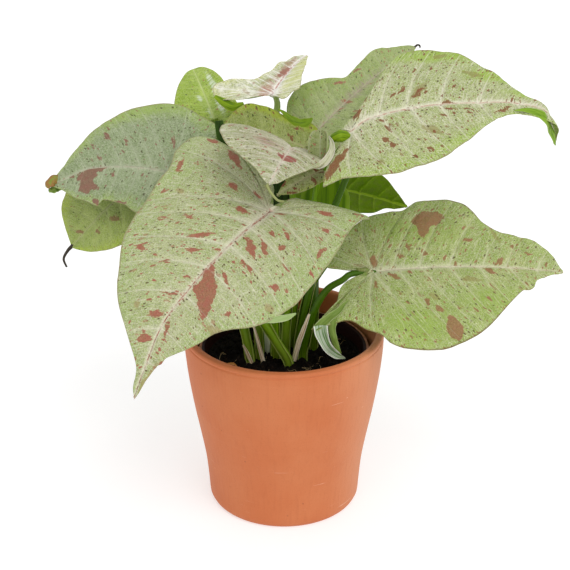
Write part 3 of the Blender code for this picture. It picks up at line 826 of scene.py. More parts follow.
@dataclass(frozen=True)
class Blade:
    """One leaf blade. It hangs between its junction and its tip with its upper face toward facing, in
    millimetres. left and right are its two halves seen from above with the tip pointing away, each
    from the notch round the basal lobe to the tip. Angles are in degrees: the midrib's slope falls
    evenly by droop, and by hook round hook_at; the lobes drop by lobe; across, the blade rises by fold
    and curls back down by cup; and it turns about its midrib by twist, from twist_start to the tip.
    bow is the midrib's own line, as places (along, out). Blots, and paler stains, are (along, out,
    along, out, radius) from one end to the other, and blushes and sheens (along, out, reach along,
    reach out, strength): tinted zones, which on the back left leaf are partly a painted highlight of
    sheen along its fold. All these are in hundredths, and a blush of negative strength is greener."""

    junction: Point
    tip: Point
    facing: Point
    finish: LeafFinish
    left: Outline
    right: Outline
    droop: float = 25.0
    hook: float = 0.0
    hook_at: float = 0.82
    lobe: float = 15.0
    fold: float = 9.0
    cup: float = 18.0
    wave: float = 1.2
    sweep: float = VEIN_SWEEP
    twist: float = 0.0
    twist_start: float = 0.8
    ruffle: float = 0.5
    bow: Outline = ((0, 0), (100, 0))
    columns: int = 40
    rows: int = 11
    seed: int = 1
    blots: Spots = ()
    stains: Spots = ()
    blushes_and_sheens: Spots = ()

    def rib(self) -> tuple[Array, Array, Array, Array]:
        """The midrib seen from the side, for a blade of length one: the slope falls with the place
        along it, and its cosine and sine are summed up to x and z.

        Returns:
            Places along the midrib, x, z and the slope in radians.
        """
        along = np.linspace(-0.9, 1.3, 881)
        hooked = smooth(along, self.hook_at - 0.07, self.hook_at + 0.07)
        slope = np.where(along > 0, -(math.radians(self.droop) * along + math.radians(self.hook) * hooked),
                         -math.radians(self.lobe) * along)
        middle = (slope[1:] + slope[:-1]) / 2
        x = np.concatenate([[0], np.cumsum(np.cos(middle) * np.diff(along))])
        z = np.concatenate([[0], np.cumsum(np.sin(middle) * np.diff(along))])
        return along, x - np.interp(0, along, x), z - np.interp(0, along, z), slope

    def axes(self) -> tuple[float, Array, Array, Array]:
        """The blade's length in metres, and its forward, left and upward directions at the junction,
        turned so that the bent midrib runs from the junction to the tip."""
        along, x, z, _ = self.rib()
        end_x, end_z = np.interp(1, along, x), np.interp(1, along, z)
        chord = (np.array(self.tip, float) - np.array(self.junction, float)) * MM
        forward = unit(chord)
        up = np.array(self.facing, float)
        up = unit(up - forward * (up @ forward))
        lift = -math.atan2(end_z, end_x)
        length = float(np.linalg.norm(chord) / math.hypot(end_x, end_z))
        ahead = math.cos(lift) * forward + math.sin(lift) * up
        return length, ahead, np.cross(up, forward), math.cos(lift) * up - math.sin(lift) * forward

    def half(self, outline: Outline, sign: int) -> dict[str, Array]:
        """One half's grid. Rows run from the midrib to the margin like the side veins, in a fan round
        the junction behind it, straight but for a slight backward bow. A row's place on the midrib is
        its margin's place less the sweep times its reach.

        Args:
            outline: the half's edge in hundredths of the length.
            sign: 1 for the left half and -1 for the right.

        Returns:
            Arrays by name: along, out and the midrib's own out, called middle, in parts of the length,
            edge as the place round the edge, part as the place across, way as the place along the
            rows, and veins as row numbers.
        """
        edge = smooth_line(outline, 600) / 100
        foot = np.maximum.accumulate(np.clip(edge[:, 0] - self.sweep * np.abs(edge[:, 1]), 0, 1))
        foot[-1] = 1
        index = np.arange(len(edge), dtype=float)
        last = int(np.flatnonzero(foot > 0)[0]) - 1
        steps = np.arange(self.rows) / self.rows
        lobe = np.concatenate([a + (b - a) * steps for a, b in zip(LOBE_VEINS, LOBE_VEINS[1:])])
        draw = np.random.default_rng(self.seed + 5 * sign + 90)
        shift = draw.uniform(-VEIN_SHIFT, VEIN_SHIFT, len(SIDE_VEINS))
        shift[[0, -1]] = 0
        starts = np.array(SIDE_VEINS) + shift
        ribs = np.concatenate([a + (b - a) * steps for a, b in zip(starts, starts[1:])] + [[1.0]])
        picks = np.concatenate([lobe * last, np.interp(ribs, foot[last:], index[last:])])
        feet = np.concatenate([0 * lobe, ribs])
        margin = np.column_stack([np.interp(picks, index, edge[:, k]) for k in range(2)])
        part = np.linspace(0, 1, self.columns)[None, :]
        width = np.abs(margin[:, 1:])
        line = smooth_line(self.bow, 80) / 100
        middle = np.interp(feet, line[:, 0], line[:, 1])[:, None]
        along = feet[:, None] * (1 - part) + margin[:, :1] * part - VEIN_BOW * width * np.sin(np.pi * part)
        angle = np.arctan2(width[:, 0], -margin[:, 0])
        way = np.where(feet > 0, feet, LOBE_ROUND * (angle - angle[len(lobe)]))
        return {"along": along, "out": middle * (1 - part) + sign * width * part, "middle": middle,
                "edge": picks[:, None] / index[-1] + 0 * part, "part": part + 0 * width,
                "way": way[:, None] + 0 * part, "veins": np.arange(self.rows, len(picks) - 1, self.rows)}

    def blot_distance(self, blots: Spots, along: Array, out: Array) -> Array:
        """Distance in hundredths of the length from each place to the nearest edge of one of the blots,
        negative inside. A blot is a lens: the place along it over its half length and the place across
        it over its half width, each to the power 1.6, sum to one at its edge, and the half width swells
        toward one end by a seeded share. Smooth swells push the places about, so that no blot is
        regular.

        Args:
            blots: the blots or stains.
            along: places along the blade in parts of its length.
            out: places across it, to the left of the midrib.

        Returns:
            The distance at each place.
        """
        nearest = np.full(along.shape, 99.0)
        lean = np.random.default_rng(self.seed + 70).uniform(-0.45, 0.45, len(blots))
        push = [swell(100 * along, 100 * out, 5.0, self.seed + k) * 0.55 for k in (20, 30)]
        place_there = np.stack([100 * along + push[0], 100 * out + push[1]], -1)
        for (a, b, c, d, radius), share in zip(blots, lean):
            ahead = np.array([c - a, d - b], float)
            half = np.linalg.norm(ahead) / 2 + radius
            ahead = ahead / (np.linalg.norm(ahead) + 1e-9)
            away = place_there - np.array([a + c, b + d]) / 2
            length = away @ ahead / half
            widest = radius * (1.1 + share * np.clip(length, -1, 1))
            width = away @ np.array([-ahead[1], ahead[0]]) / widest
            lens = (np.abs(length) ** 1.6 + np.abs(width) ** 1.6) ** (1 / 1.6)
            nearest = np.minimum(nearest, (lens - 1) * radius)
        return nearest

    def across(self, reach: Array) -> tuple[Array, Array]:
        """Way out and height at a reach from the midrib, for a blade of length one: the integrals of the
        cosine and the sine of a direction that turns evenly from the fold angle down by the cup."""
        start = math.radians(self.fold)
        pace = math.radians(self.cup) / HALF_WIDTH
        end = start - pace * reach
        return (math.sin(start) - np.sin(end)) / pace, (np.cos(end) - math.cos(start)) / pace

    def relief(self, grid: dict[str, Array], spine: Array, vein: Array, size: float) -> Array:
        """The fine height of the upper face: cushions between the side veins, which are one less a
        falling exponential of the distance to the nearest side vein, a groove along each vein as a bell
        curve, a ruffle of the margin and random swells.

        Args:
            grid: the half's grid.
            spine: distance from the midrib at each place in millimetres.
            vein: distance from the nearest side vein in millimetres.
            size: the blade's length in millimetres.

        Returns:
            The height at each place in millimetres.
        """
        along, out, part, edge = grid["along"], grid["out"], grid["part"], grid["edge"]
        inner = np.sqrt(np.clip(4 * part * (1 - part), 0, 1))
        height = CUSHION[0] * size * (1 - np.exp(-vein / (CUSHION[1] * size))) * inner
        height -= VEIN_GROOVE[0] * np.exp(-(vein / VEIN_GROOVE[1]) ** 2) * inner
        height -= (MIDRIB_GROOVE[0] * np.exp(-(spine / MIDRIB_GROOVE[1]) ** 2)
                   * (1 - 0.8 * np.clip(along, 0, 1)))
        ruffle = np.sin(RUFFLE_PACE * edge + self.seed) * np.clip(6 * (1 - edge), 0, 1)
        height += self.ruffle * part**3 * ruffle
        for step, (rise, apart) in enumerate(SWELLS):
            height += rise * part * swell(along * size, out * size, apart, self.seed + 50 * step)
        return height

    def surface(self, grid: dict[str, Array], left: bool) -> tuple[Array, dict[str, Array]]:
        """World places of one half's upper face, and its marks.

        Across a row the surface direction starts at the fold angle and turns down by the cup; its
        cosine and sine are summed up to the way out and the height. Where the midrib is bowed, both
        are pulled so that the margin stays in place. Waves of the margin and the relief are added to
        the height.

        Args:
            grid: the half's grid.
            left: whether it is the left half.

        Returns:
            An array of places, and the marks by name, each with one row for each place.
        """
        length, forward, sideways, up = self.axes()
        size = length / MM
        along, out, part = grid["along"], grid["out"], grid["part"]
        reach = np.abs(out - grid["middle"])
        veins = [np.hypot(along - along[k], out - out[k]) for k in grid["veins"]]
        vein = np.min(veins, axis=0) * size
        tilt = math.radians(self.fold) - math.radians(self.cup) / HALF_WIDTH * reach
        middle = (tilt[:, 1:] + tilt[:, :-1]) / 2
        stride = np.diff(reach, axis=1)
        still = np.zeros((len(reach), 1))
        side = np.concatenate([still, np.cumsum(np.cos(middle) * stride, axis=1)], axis=1)
        height = np.concatenate([still, np.cumsum(np.sin(middle) * stride, axis=1)], axis=1)
        sign = 1 if left else -1
        pull = [a - b for a, b in zip(self.across(np.abs(out[:, -1:])), self.across(reach[:, -1:]))]
        side = (side + part * pull[0]) * sign + (1 - part) * grid["middle"]
        height = height + part * pull[1]
        turn = 2 * math.pi * MARGIN_WAVES * along + (0.0 if left else 1.9)
        height = height + self.wave / 100 * np.clip(np.abs(out) / HALF_WIDTH, 0, 1.3) ** 2 * np.sin(turn)
        detail = self.relief(grid, reach * size, vein, size)
        height = height + detail / size * min(1, size / FULL_RELIEF_SIZE)
        at, x, z, slope = self.rib()
        if self.twist:
            turn = math.radians(self.twist) * smooth(along, self.twist_start, 1.0)
            side, height = (side * np.cos(turn) - height * np.sin(turn),
                            height * np.cos(turn) + side * np.sin(turn))
        angle = np.interp(along, at, slope)
        x = np.interp(along, at, x) - np.sin(angle) * height
        z = np.interp(along, at, z) + np.cos(angle) * height
        turned_out = x[..., None] * forward + side[..., None] * sideways + z[..., None] * up
        places = np.array(self.junction) * MM + length * turned_out
        blush_and_sheen = np.zeros(along.shape)
        for a, b, wide, high, strength in self.blushes_and_sheens:
            away = ((100 * along - a) / wide) ** 2 + ((100 * out - b) / high) ** 2
            blush_and_sheen = blush_and_sheen + strength * np.exp(-away)
        nil = 0 * along
        marks = {"flat": np.stack([along * size, out * size, nil], -1),
                 "row": np.stack([grid["way"] * size, reach * size, nil + (0.0 if left else 40.0)], -1),
                 "vein": vein / (1.25 - 0.85 * part), "reach": part, "blush_and_sheen": blush_and_sheen,
                 "spine": reach * size / (0.95 - 0.60 * np.clip(along, 0, 1)),
                 "blot": self.blot_distance(self.blots, along, out) * size / 100,
                 "stain": self.blot_distance(self.stains, along, out) * size / 100}
        return places, marks

    def shell(self) -> Shell:
        """The closed blade: its upper face, the same face moved down by the thickness, which is greater
        under the midrib and the side veins, and the narrow edge between them."""
        sides = [self.surface(self.half(self.left, 1), True), self.surface(self.half(self.right, -1), False)]
        rows, columns = sides[0][1]["vein"].shape
        number = np.arange(rows * columns).reshape(rows, columns)
        number[:len(LOBE_VEINS[1:]) * self.rows + 1, 0] = 0
        number[-1] = number[-1, 0]
        other = np.arange(rows * columns).reshape(rows, columns) + rows * columns
        other[:, 0] = number[:, 0]
        other[-1] = number[-1]
        loop = np.concatenate([number[0, :-1], number[:-1, -1], number[-1, -1:], other[:-1, -1][::-1],
                               other[0, :-1][::-1]])
        triangles = np.concatenate([grid_triangles(number), grid_triangles(other)[:, ::-1]])
        used, flat = np.unique(triangles, return_inverse=True)
        triangles = flat.reshape(-1, 3)
        loop = np.searchsorted(used, loop)
        places = np.concatenate([side[0].reshape(-1, 3) for side in sides])[used]
        marks = {name: np.concatenate([side[1][name].reshape(rows * columns, -1) for side in sides])[used]
                 for name in sides[0][1]}
        marks = {name: value[:, 0] if value.shape[1] == 1 else value for name, value in marks.items()}
        upper = Shell(places, triangles)
        spine = np.exp(-(marks["spine"] / MIDRIB_BELOW[1]) ** 2)
        spine = spine * (1 - 0.8 * np.clip(marks["flat"][:, 0] / 150, 0, 1))
        ribs = np.exp(-(marks["vein"] / VEIN_BELOW[1]) ** 2) * (1 - marks["reach"])
        depth = BLADE_THICKNESS + MIDRIB_BELOW[0] * MM * spine + VEIN_BELOW[0] * MM * ribs
        under = places - upper.normals() * depth[:, None]
        count = len(places)
        wall = grid_triangles(np.stack([loop, loop + count]))
        paint = np.repeat([Side.UPPER.value, Side.LOWER.value, Side.UPPER.value],
                          [len(triangles), len(triangles), len(wall)])
        return Shell(np.concatenate([places, under]),
                     np.concatenate([triangles, triangles[:, ::-1] + count, wall]), paint,
                     {name: np.concatenate([value, value]) for name, value in marks.items()})


@dataclass(frozen=True)
class Leaf:
    """A leaf: its blade, and its stalk from the root, a place on the soil in millimetres, by way of
    through. behind is for a stalk that lies in the notch between the lobes. A sheath wraps the lower
    share of the stalk and is open toward sheath_turn, in degrees from +X."""

    name: str
    slot: str
    blade: Blade
    root: tuple[float, float]
    stalk: StalkFinish
    stalk_radius: float = 3.0
    behind: bool = False
    through: tuple[Point, ...] = ()
    sheath_turn: float = -90.0
    sheath_share: float = 0.42

    def path(self) -> Array:
        """The stalk's middle line: straight up out of the soil, over in one curve, and into the blade.
        With no places to go through, the curve is a Bezier curve that rises from the root and comes
        up to the blade from below."""
        _, forward, _, up = self.blade.axes()
        junction = np.array(self.blade.junction) * MM
        if self.behind:
            end = junction - forward * NOTCH_REACH - up * CAD_BLADE / 2
            lead, last = forward, junction + forward * 2 * MM - up * 1.2 * MM
        else:
            end = junction + forward * self.top_radius() - up * (CAD_BLADE + CAD_RIB + 2 * CLEARANCE)
            lead, last = up, junction + forward * 2.6 * MM - up * 2.2 * MM
        root = np.array([self.root[0] * MM, self.root[1] * MM, SOIL_HEIGHT])
        neck = end - lead * STALK_NECK
        rise = neck[2] - root[2]
        if self.through:
            middle = [np.array(spot) * MM for spot in self.through]
        else:
            t = np.array([0.2, 0.4, 0.6, 0.8])[:, None]
            first = root + np.array([0, 0, 0.55 * rise])
            second = neck - unit(2 * lead + np.array([0, 0, 1.0])) * 0.30 * rise
            middle = list((1 - t)**3 * root + 3 * (1 - t)**2 * t * first + 3 * (1 - t) * t**2 * second
                          + t**3 * neck)
        bottom = root - np.array([0, 0, STALK_DEPTH * 0.6])
        return smooth_line([bottom, root + np.array([0, 0, 0.003]), *middle, neck, end, last], 72)

    def top_radius(self) -> float:
        """Radius of the stalk where it meets the blade."""
        return min(STALK_TOP_RADIUS, 0.8 * self.stalk_radius * MM)

    def stalk_shell(self) -> Shell:
        """The stalk: a tube that tapers upward, swells a little at the blade and has a shallow channel
        and fine ridges, as a factor on the radius round each ring."""
        path = self.path()
        part = np.linspace(0, 1, len(path))
        base = self.stalk_radius * MM
        radius = base + (self.top_radius() - base) * part
        radius *= 1 + 0.12 * np.exp(-((part - 0.93) / 0.03) ** 2) - 0.35 * smooth(part, 0.965, 1.0)
        angle = round_turn(STALK_SIDES)
        shape = 1 - 0.13 * np.exp(-((angle - np.pi * 1.5) / 0.55) ** 2) + 0.018 * np.cos(9 * angle)
        way = path[-1] - path[0]
        side = np.array([way[1], -way[0], 0.0])
        side = unit(side) if np.linalg.norm(side) > 0.002 else np.array([1.0, 0, 0])
        return tube(path, radius, STALK_SIDES, side, shape)

    def sheath_shell(self) -> Shell:
        """The sheath: a strip from the soil up to a point. It bends 285 degrees round the stalk at its
        foot and 45 degrees at its point."""
        path = self.path()
        path = smooth_line(path[:int(len(path) * self.sheath_share)], 40)
        turn = math.radians(self.sheath_turn)
        ahead = unit(np.gradient(path, axis=0))
        opening = np.array([math.cos(turn), math.sin(turn), 0.0])
        opening = unit(opening - ahead * (ahead @ opening)[:, None])
        part = np.linspace(0, 1, len(path))
        radius = self.stalk_radius * MM * (1.02 - 0.25 * self.sheath_share * part) + (0.45 + 0.5 * part) * MM
        curl = 285 - 110 * part - 130 * part**6
        side = np.cross(ahead, opening)
        width = radius * np.radians(curl) * (1 + 0.05 * np.sin(17 * part + self.sheath_turn))
        return ribbon(path - opening * radius[:, None], side, width, curl, 0.35 * MM)

    def build(self) -> None:
        """Makes the blade and the stalk."""
        finishes = [self.blade.finish.material(side) for side in Side]
        place(f"{self.name}_leaf_blade", self.blade.shell(), finishes, self.slot, f"{self.name}_blade",
              crease=LEAF_CREASE)
        place(f"{self.name}_leaf_stalk", joined([self.stalk_shell(), self.sheath_shell()]),
              [self.stalk.material()], "leaf_stalk", f"{self.name}_stalk", crease=LEAF_CREASE)


@dataclass(frozen=True)
class Strip:
    """A small curled form: a strip through the points, in millimetres, whose middle faces toward
    facing. Widths are in millimetres and curls in degrees, each at even spaces along it; a negative
    curl bends the margins away from facing. ripple is how far the margins wave, in millimetres."""

    name: str
    slot: str
    finish: StripFinish
    points: tuple[Point, ...]
    facing: Point
    widths: tuple[float, ...]
    curls: tuple[float, ...]
    thickness: float = 0.45
    ripple: float = 0.0

    def build(self) -> None:
        """Makes the strip and its finish."""
        path = smooth_line(self.points, 48) * MM
        part = np.linspace(0, 1, len(path))
        width = np.interp(part, np.linspace(0, 1, len(self.widths)), self.widths) * MM
        curl = np.interp(part, np.linspace(0, 1, len(self.curls)), self.curls)
        ahead = unit(np.gradient(path, axis=0))
        facing = np.array(self.facing, float)
        side = unit(np.cross(ahead, facing))
        path = path + np.sin(16 * part)[:, None] * unit(facing) * self.ripple * MM
        curl = curl + 14 * self.ripple * np.sin(23 * part + 1)
        shell = ribbon(path, side, width, curl, self.thickness * MM)
        place(self.name, shell, [self.finish.material()], self.slot, crease=LEAF_CREASE)


@dataclass(frozen=True)
class ClayPot:
    """The tapered clay pot with its rounded rim and the fine line under it."""

    sides: int = 220

    def profile(self) -> Array:
        """Radius and height from the axis inside, up and over the rim, down and back to the axis, as
        smooth curves between the frame's own places."""
        outer = [(0.0522, 0.0012), (0.0535, 0.0040), (0.0541, 0.0120), (0.0560, 0.0320), (0.0594, 0.0520),
                 (0.0636, 0.0740), (0.0672, 0.0970), (0.0690, 0.1130), (0.0696, 0.1215), (0.0698, 0.1262)]
        lip = [(0.0698, 0.1262), (0.0697, 0.1272), (0.06925, 0.1280), (0.0695, 0.1288),
               (POT_RIM_RADIUS, 0.1297), (0.0698, 0.1307), (0.0692, 0.1315), (0.0680, 0.1319),
               (0.0667, POT_HEIGHT), (0.0655, 0.1317), (0.0645, 0.1308), (POT_RIM_RADIUS - POT_WALL, 0.1292)]
        inner = [(POT_RIM_RADIUS - POT_WALL, 0.1292)]
        inner += [(radius - POT_WALL, height) for radius, height in outer[7:3:-1]]
        inner += [(0.0482, 0.0200), (0.0466, 0.0120), (0.0450, 0.0088), (0.0420, POT_FLOOR)]
        foot = [(0.0522, 0.0012), (0.0512, 0.0003), (0.0495, 0.0), (0.0400, 0.0)]
        inside = np.vstack([smooth_line(lip, 46), smooth_line(inner, 30)[1:]])
        around = np.vstack([smooth_line(foot, 12)[::-1][:-1], smooth_line(outer, 48)[:-1], inside])
        line = np.vstack([[[0, 0]], around, [[0, POT_FLOOR]]])
        return line[::-1]

    def build(self) -> None:
        """Turns the pot, makes it very slightly out of round, and dresses it."""
        shell = turned(self.profile(), self.sides)
        x, y, z = shell.vertices.T
        angle = np.arctan2(y, x)
        off = 1 + 0.0022 * smooth(z, 0.0, 0.03) * np.sin(2 * angle + 0.6) * smooth(z, 0.132, 0.10)
        shell.vertices[:, 0] *= np.minimum(off, 1.0)
        shell.vertices[:, 2] = np.maximum(z, 0.0)
        place("clay_pot", shell, [ClayFinish().material()], "terracotta", "terracotta_pot", crease=75.0)


@dataclass(frozen=True)
class NurseryPot:
    """The thin inner pot with its turned-out lip and drain holes."""

    sides: int = 180
    drain_radius: float = 0.004
    drain_ring: float = 0.027
    drains: int = 6

    def radius(self, height: float) -> float:
        """Outer radius of the tapered wall at a height."""
        part = (height - POT_FLOOR) / (NURSERY_RIM_HEIGHT - POT_FLOOR)
        return NURSERY_BASE_RADIUS + part * (NURSERY_RIM_RADIUS - NURSERY_LIP - NURSERY_BASE_RADIUS)

    def profile(self) -> Array:
        """Radius and height from the axis inside, up, over the lip, down its skirt and back below."""
        foot = POT_FLOOR + CLEARANCE
        top = NURSERY_RIM_HEIGHT
        wall_top = self.radius(top)
        base = self.radius(foot)
        rim = NURSERY_RIM_RADIUS
        lip = [(wall_top - NURSERY_WALL, top - 0.0006), (wall_top - 0.7 * NURSERY_WALL, top - 0.0001),
               (wall_top, top), (rim - 0.0007, top), (rim - 0.0001, top - 0.0004), (rim, top - 0.0050)]
        inside = [(0, foot + NURSERY_WALL), (base - NURSERY_WALL, foot + NURSERY_WALL)]
        skirt = [(rim - NURSERY_WALL, top - 0.0050), (rim - NURSERY_WALL, top - 0.0014),
                 (wall_top, top - 0.0020), (self.radius(foot + 0.0020), foot + 0.0020),
                 (base - 0.0015, foot), (0, foot)]
        return np.array([*inside, *lip, *skirt])

    def build(self) -> None:
        """Turns the pot, cuts its drain holes and dresses it."""
        finish = PlasticFinish().material()
        shell = turned(self.profile(), self.sides)
        piece = place("inner_pot", shell, [finish], "brown_plastic", "nursery_pot", crease=35.0)
        turns = round_turn(self.drains)
        heights = np.array([POT_FLOOR - 0.002, POT_FLOOR + 0.004])
        spots = np.column_stack([np.cos(turns), np.sin(turns)]) * self.drain_ring
        pegs = [tube(np.column_stack([np.tile(spot, (2, 1)), heights]), np.full(2, self.drain_radius), 20,
                     np.array([1.0, 0, 0])) for spot in spots]
        cutter = place("drain_cutter", joined(pegs), [finish], "brown_plastic")
        cut = piece.modifiers.new("Drains", "BOOLEAN")
        cut.solver = "EXACT"
        cut.object = cutter
        graph = bpy.context.evaluated_depsgraph_get()
        mesh = bpy.data.meshes.new_from_object(piece.evaluated_get(graph), depsgraph=graph)
        piece.modifiers.clear()
        piece.data = mesh
        mesh.name = "inner_pot"
        bpy.data.objects.remove(cutter)


@dataclass(frozen=True)
class Soil:
    """The potting mix: a lumpy surface, crumbs, pale fibres and a few bits of bark."""

    crumbs: int = 1500
    fibres: int = 46
    seed: int = 12

    def edge(self) -> float:
        """Radius of the soil at its surface."""
        return NurseryPot().radius(SOIL_HEIGHT) - NURSERY_WALL - CLEARANCE

    def height(self, x: Array, y: Array) -> Array:
        """Height of the surface: the frame's own lumps, with two finer swells that fade at the edge."""
        part = np.clip(1 - np.hypot(x, y) / (self.edge() + CLEARANCE), 0, 1)
        lumps = (np.sin(310 * x + 1.0) * np.sin(270 * y) + 0.7 * np.sin(520 * y + 400 * x)
                 + 0.5 * np.sin(760 * x - 610 * y))
        fine = 0.5 * swell(x, y, 0.006, 3) + 0.3 * swell(x, y, 0.0026, 4)
        return SOIL_HEIGHT + (SOIL_LUMP * lumps + 0.0012 * fine) * np.minimum(1, 4 * part)

    def ground(self) -> Shell:
        """The filling: rings of the surface out to the edge, then down the wall to a flat foot."""
        foot = POT_FLOOR + NURSERY_WALL + 2 * CLEARANCE
        rings = np.linspace(0, self.edge(), 90)
        angle = round_turn(200)
        x, y = rings[:, None] * np.cos(angle), rings[:, None] * np.sin(angle)
        low = NurseryPot().radius(foot) - NURSERY_WALL - CLEARANCE
        wall = [spread(radius * np.cos(angle), radius * np.sin(angle), foot)[None] for radius in (low, 0)]
        return capped(np.concatenate([np.stack([x, y, self.height(x, y)], -1), *wall]))

    def scatter(self, count: int, draw: np.random.Generator, reach: float) -> Array:
        """Random places on the surface inside a reach, as rows of x, y and z."""
        radius = reach * np.sqrt(draw.uniform(0, 1, count))
        angle = draw.uniform(0, 2 * np.pi, count)
        x, y = radius * np.cos(angle), radius * np.sin(angle)
        return np.column_stack([x, y, self.height(x, y)])

    def crumb_shell(self, draw: np.random.Generator) -> Shell:
        """Crumbs: twenty-sided lumps, each stretched and turned at random and half sunk."""
        gold = (1 + math.sqrt(5)) / 2
        corner = np.array([(-1, gold, 0), (1, gold, 0), (-1, -gold, 0), (1, -gold, 0), (0, -1, gold),
                           (0, 1, gold), (0, -1, -gold), (0, 1, -gold), (gold, 0, -1), (gold, 0, 1),
                           (-gold, 0, -1), (-gold, 0, 1)])
        faces = np.array([(0, 11, 5), (0, 5, 1), (0, 1, 7), (0, 7, 10), (0, 10, 11), (1, 5, 9), (5, 11, 4),
                          (11, 10, 2), (10, 7, 6), (7, 1, 8), (3, 9, 4), (3, 4, 2), (3, 2, 6), (3, 6, 8),
                          (3, 8, 9), (4, 9, 5), (2, 4, 11), (6, 2, 10), (8, 6, 7), (9, 8, 1)])
        size = draw.uniform(0.25, 1.0, (self.crumbs, 1, 1)) ** 2 * 1.5 * MM + 0.25 * MM
        shape = unit(corner)[None] * draw.uniform(0.55, 1.25, (self.crumbs, 1, 3))
        shape = shape * draw.uniform(0.75, 1.2, (self.crumbs, 12, 1)) * size
        turn = draw.uniform(0, 2 * np.pi, (self.crumbs, 1))
        x = shape[..., 0] * np.cos(turn) - shape[..., 1] * np.sin(turn)
        y = shape[..., 0] * np.sin(turn) + shape[..., 1] * np.cos(turn)
        spots = self.scatter(self.crumbs, draw, self.edge() - 2.2 * MM)
        places = np.stack([x, y, shape[..., 2]], -1) + spots[:, None]
        number = faces[None] + 12 * np.arange(self.crumbs)[:, None, None]
        return Shell(places.reshape(-1, 3), number.reshape(-1, 3))

    def fibre_shell(self, draw: np.random.Generator) -> Shell:
        """Fibres: thin tubes along short random arcs that lie on the surface and lift off it a little."""
        shells = []
        t = np.linspace(-0.5, 0.5, 9)
        for spot in self.scatter(self.fibres, draw, self.edge() - 7 * MM):
            length, turn, bend = draw.uniform(4, 11) * MM, draw.uniform(0, np.pi), draw.uniform(-1.6, 1.6)
            heading = turn + bend * t
            steps = np.column_stack([np.cos(heading), np.sin(heading)]) * length / 8
            flat = spot[:2] + np.cumsum(steps, axis=0) - steps.sum(0) / 2
            lift = draw.uniform(0.2, 1.8) * MM * np.cos(np.pi * t) + 0.35 * MM
            path = np.column_stack([flat, self.height(flat[:, 0], flat[:, 1]) + lift])
            radius = draw.uniform(0.07, 0.17) * MM * (1.2 - np.abs(t))
            shells.append(tube(path, radius, 5, np.array([0, 0, 1.0])))
        return joined(shells)

    def bark_shell(self) -> Shell:
        """Two curled bits of orange-brown bark, left of the stalks."""
        bits = [((-36, -15), 0.15, 8.0, 3.0), ((-31, -17.5), -0.5, 5.0, 2.4)]
        t = np.linspace(-0.5, 0.5, 14)
        shells = []
        for (x, y), turn, length, width in bits:
            heading = np.array([math.cos(turn), math.sin(turn)])
            flat = np.array([x, y]) * MM + t[:, None] * heading * length * MM
            lift = (1.3 + np.sin(9 * t) * 0.4) * MM
            path = np.column_stack([flat, self.height(flat[:, 0], flat[:, 1]) + lift])
            side = np.tile([-heading[1], heading[0], 0.0], (14, 1))
            wide = width * MM * np.sqrt(1 - (1.8 * t) ** 2)
            shells.append(ribbon(path, side, wide, np.full(14, -110.0), 0.5 * MM))
        return joined(shells)

    def build(self) -> None:
        """Makes and dresses the soil and what lies on it."""
        draw = np.random.default_rng(self.seed)
        place("potting_soil", self.ground(), [SoilFinish("damp_soil").material()], "potting_soil", "soil")
        crumb = SoilFinish("soil_crumb", (12, 8, 7), (52, 36, 26)).material()
        place("soil_crumbs", self.crumb_shell(draw), [crumb], "potting_soil", crease=30.0)
        fibre = StripFinish("pale_fibre", (206, 178, 136), (126, 98, 66)).material()
        place("soil_fibres", self.fibre_shell(draw), [fibre], "potting_soil")
        bark = StripFinish("bark", (214, 148, 84), (128, 76, 38)).material()
        place("bark_bits", self.bark_shell(), [bark], "potting_soil")


@dataclass(frozen=True)
class Studio:
    """A plain pale floor, soft light from the upper right and the camera of the photograph."""

    floor_size: float = 30.0
    floor_colour: Colour = (203, 203, 203)
    room_light: float = 0.84
    key_light: float = 0.98
    key_spread: float = 40.0
    glow: float = 0.50
    key_turn: Point = (38.0, 0.0, 30.0)

    def floor(self) -> None:
        """The floor, pale, and lit from within so that shadows on it stay faint."""
        half = self.floor_size / 2
        mesh = bpy.data.meshes.new("floor")
        corners = [(-half, -half, 0), (half, -half, 0), (half, half, 0), (-half, half, 0)]
        mesh.from_pydata(corners, [], [(0, 1, 2, 3)])
        graph = Graph("studio_floor", 0.9, 0.1)
        graph.put(graph.shader, {"Base Color": linear(self.floor_colour), "Emission Color": WHITE,
                                 "Emission Strength": self.glow})
        mesh.materials.append(graph.material)
        floor = shown("floor", mesh)

    def key(self) -> None:
        """A very wide soft light from the upper right, in front of the plant."""
        data = bpy.data.lights.new("key", "SUN")
        data.energy = self.key_light
        data.angle = math.radians(self.key_spread)
        shown("key", data).rotation_euler = tuple(math.radians(turn) for turn in self.key_turn)

    def camera(self) -> None:
        """The camera, which looks along +Y and down by its tilt."""
        data = bpy.data.cameras.new("camera")
        data.lens = CAMERA_LENS
        data.sensor_width = CAMERA_SENSOR
        camera = shown("camera", data)
        camera.location = CAMERA_PLACE
        camera.rotation_euler = (math.radians(90 - CAMERA_TILT), 0.0, 0.0)
        bpy.context.scene.camera = camera

    def build(self) -> None:
        """Sets up the floor, the light and the camera."""
        self.floor()
        self.key()
        world = bpy.data.worlds.new("pale_room")
        world.use_nodes = True
        sky = world.node_tree.nodes["Background"]
        sky.inputs["Color"].default_value = WHITE
        sky.inputs["Strength"].default_value = self.room_light
        bpy.context.scene.world = world
        bpy.context.scene.view_settings.view_transform = "Standard"
        self.camera()


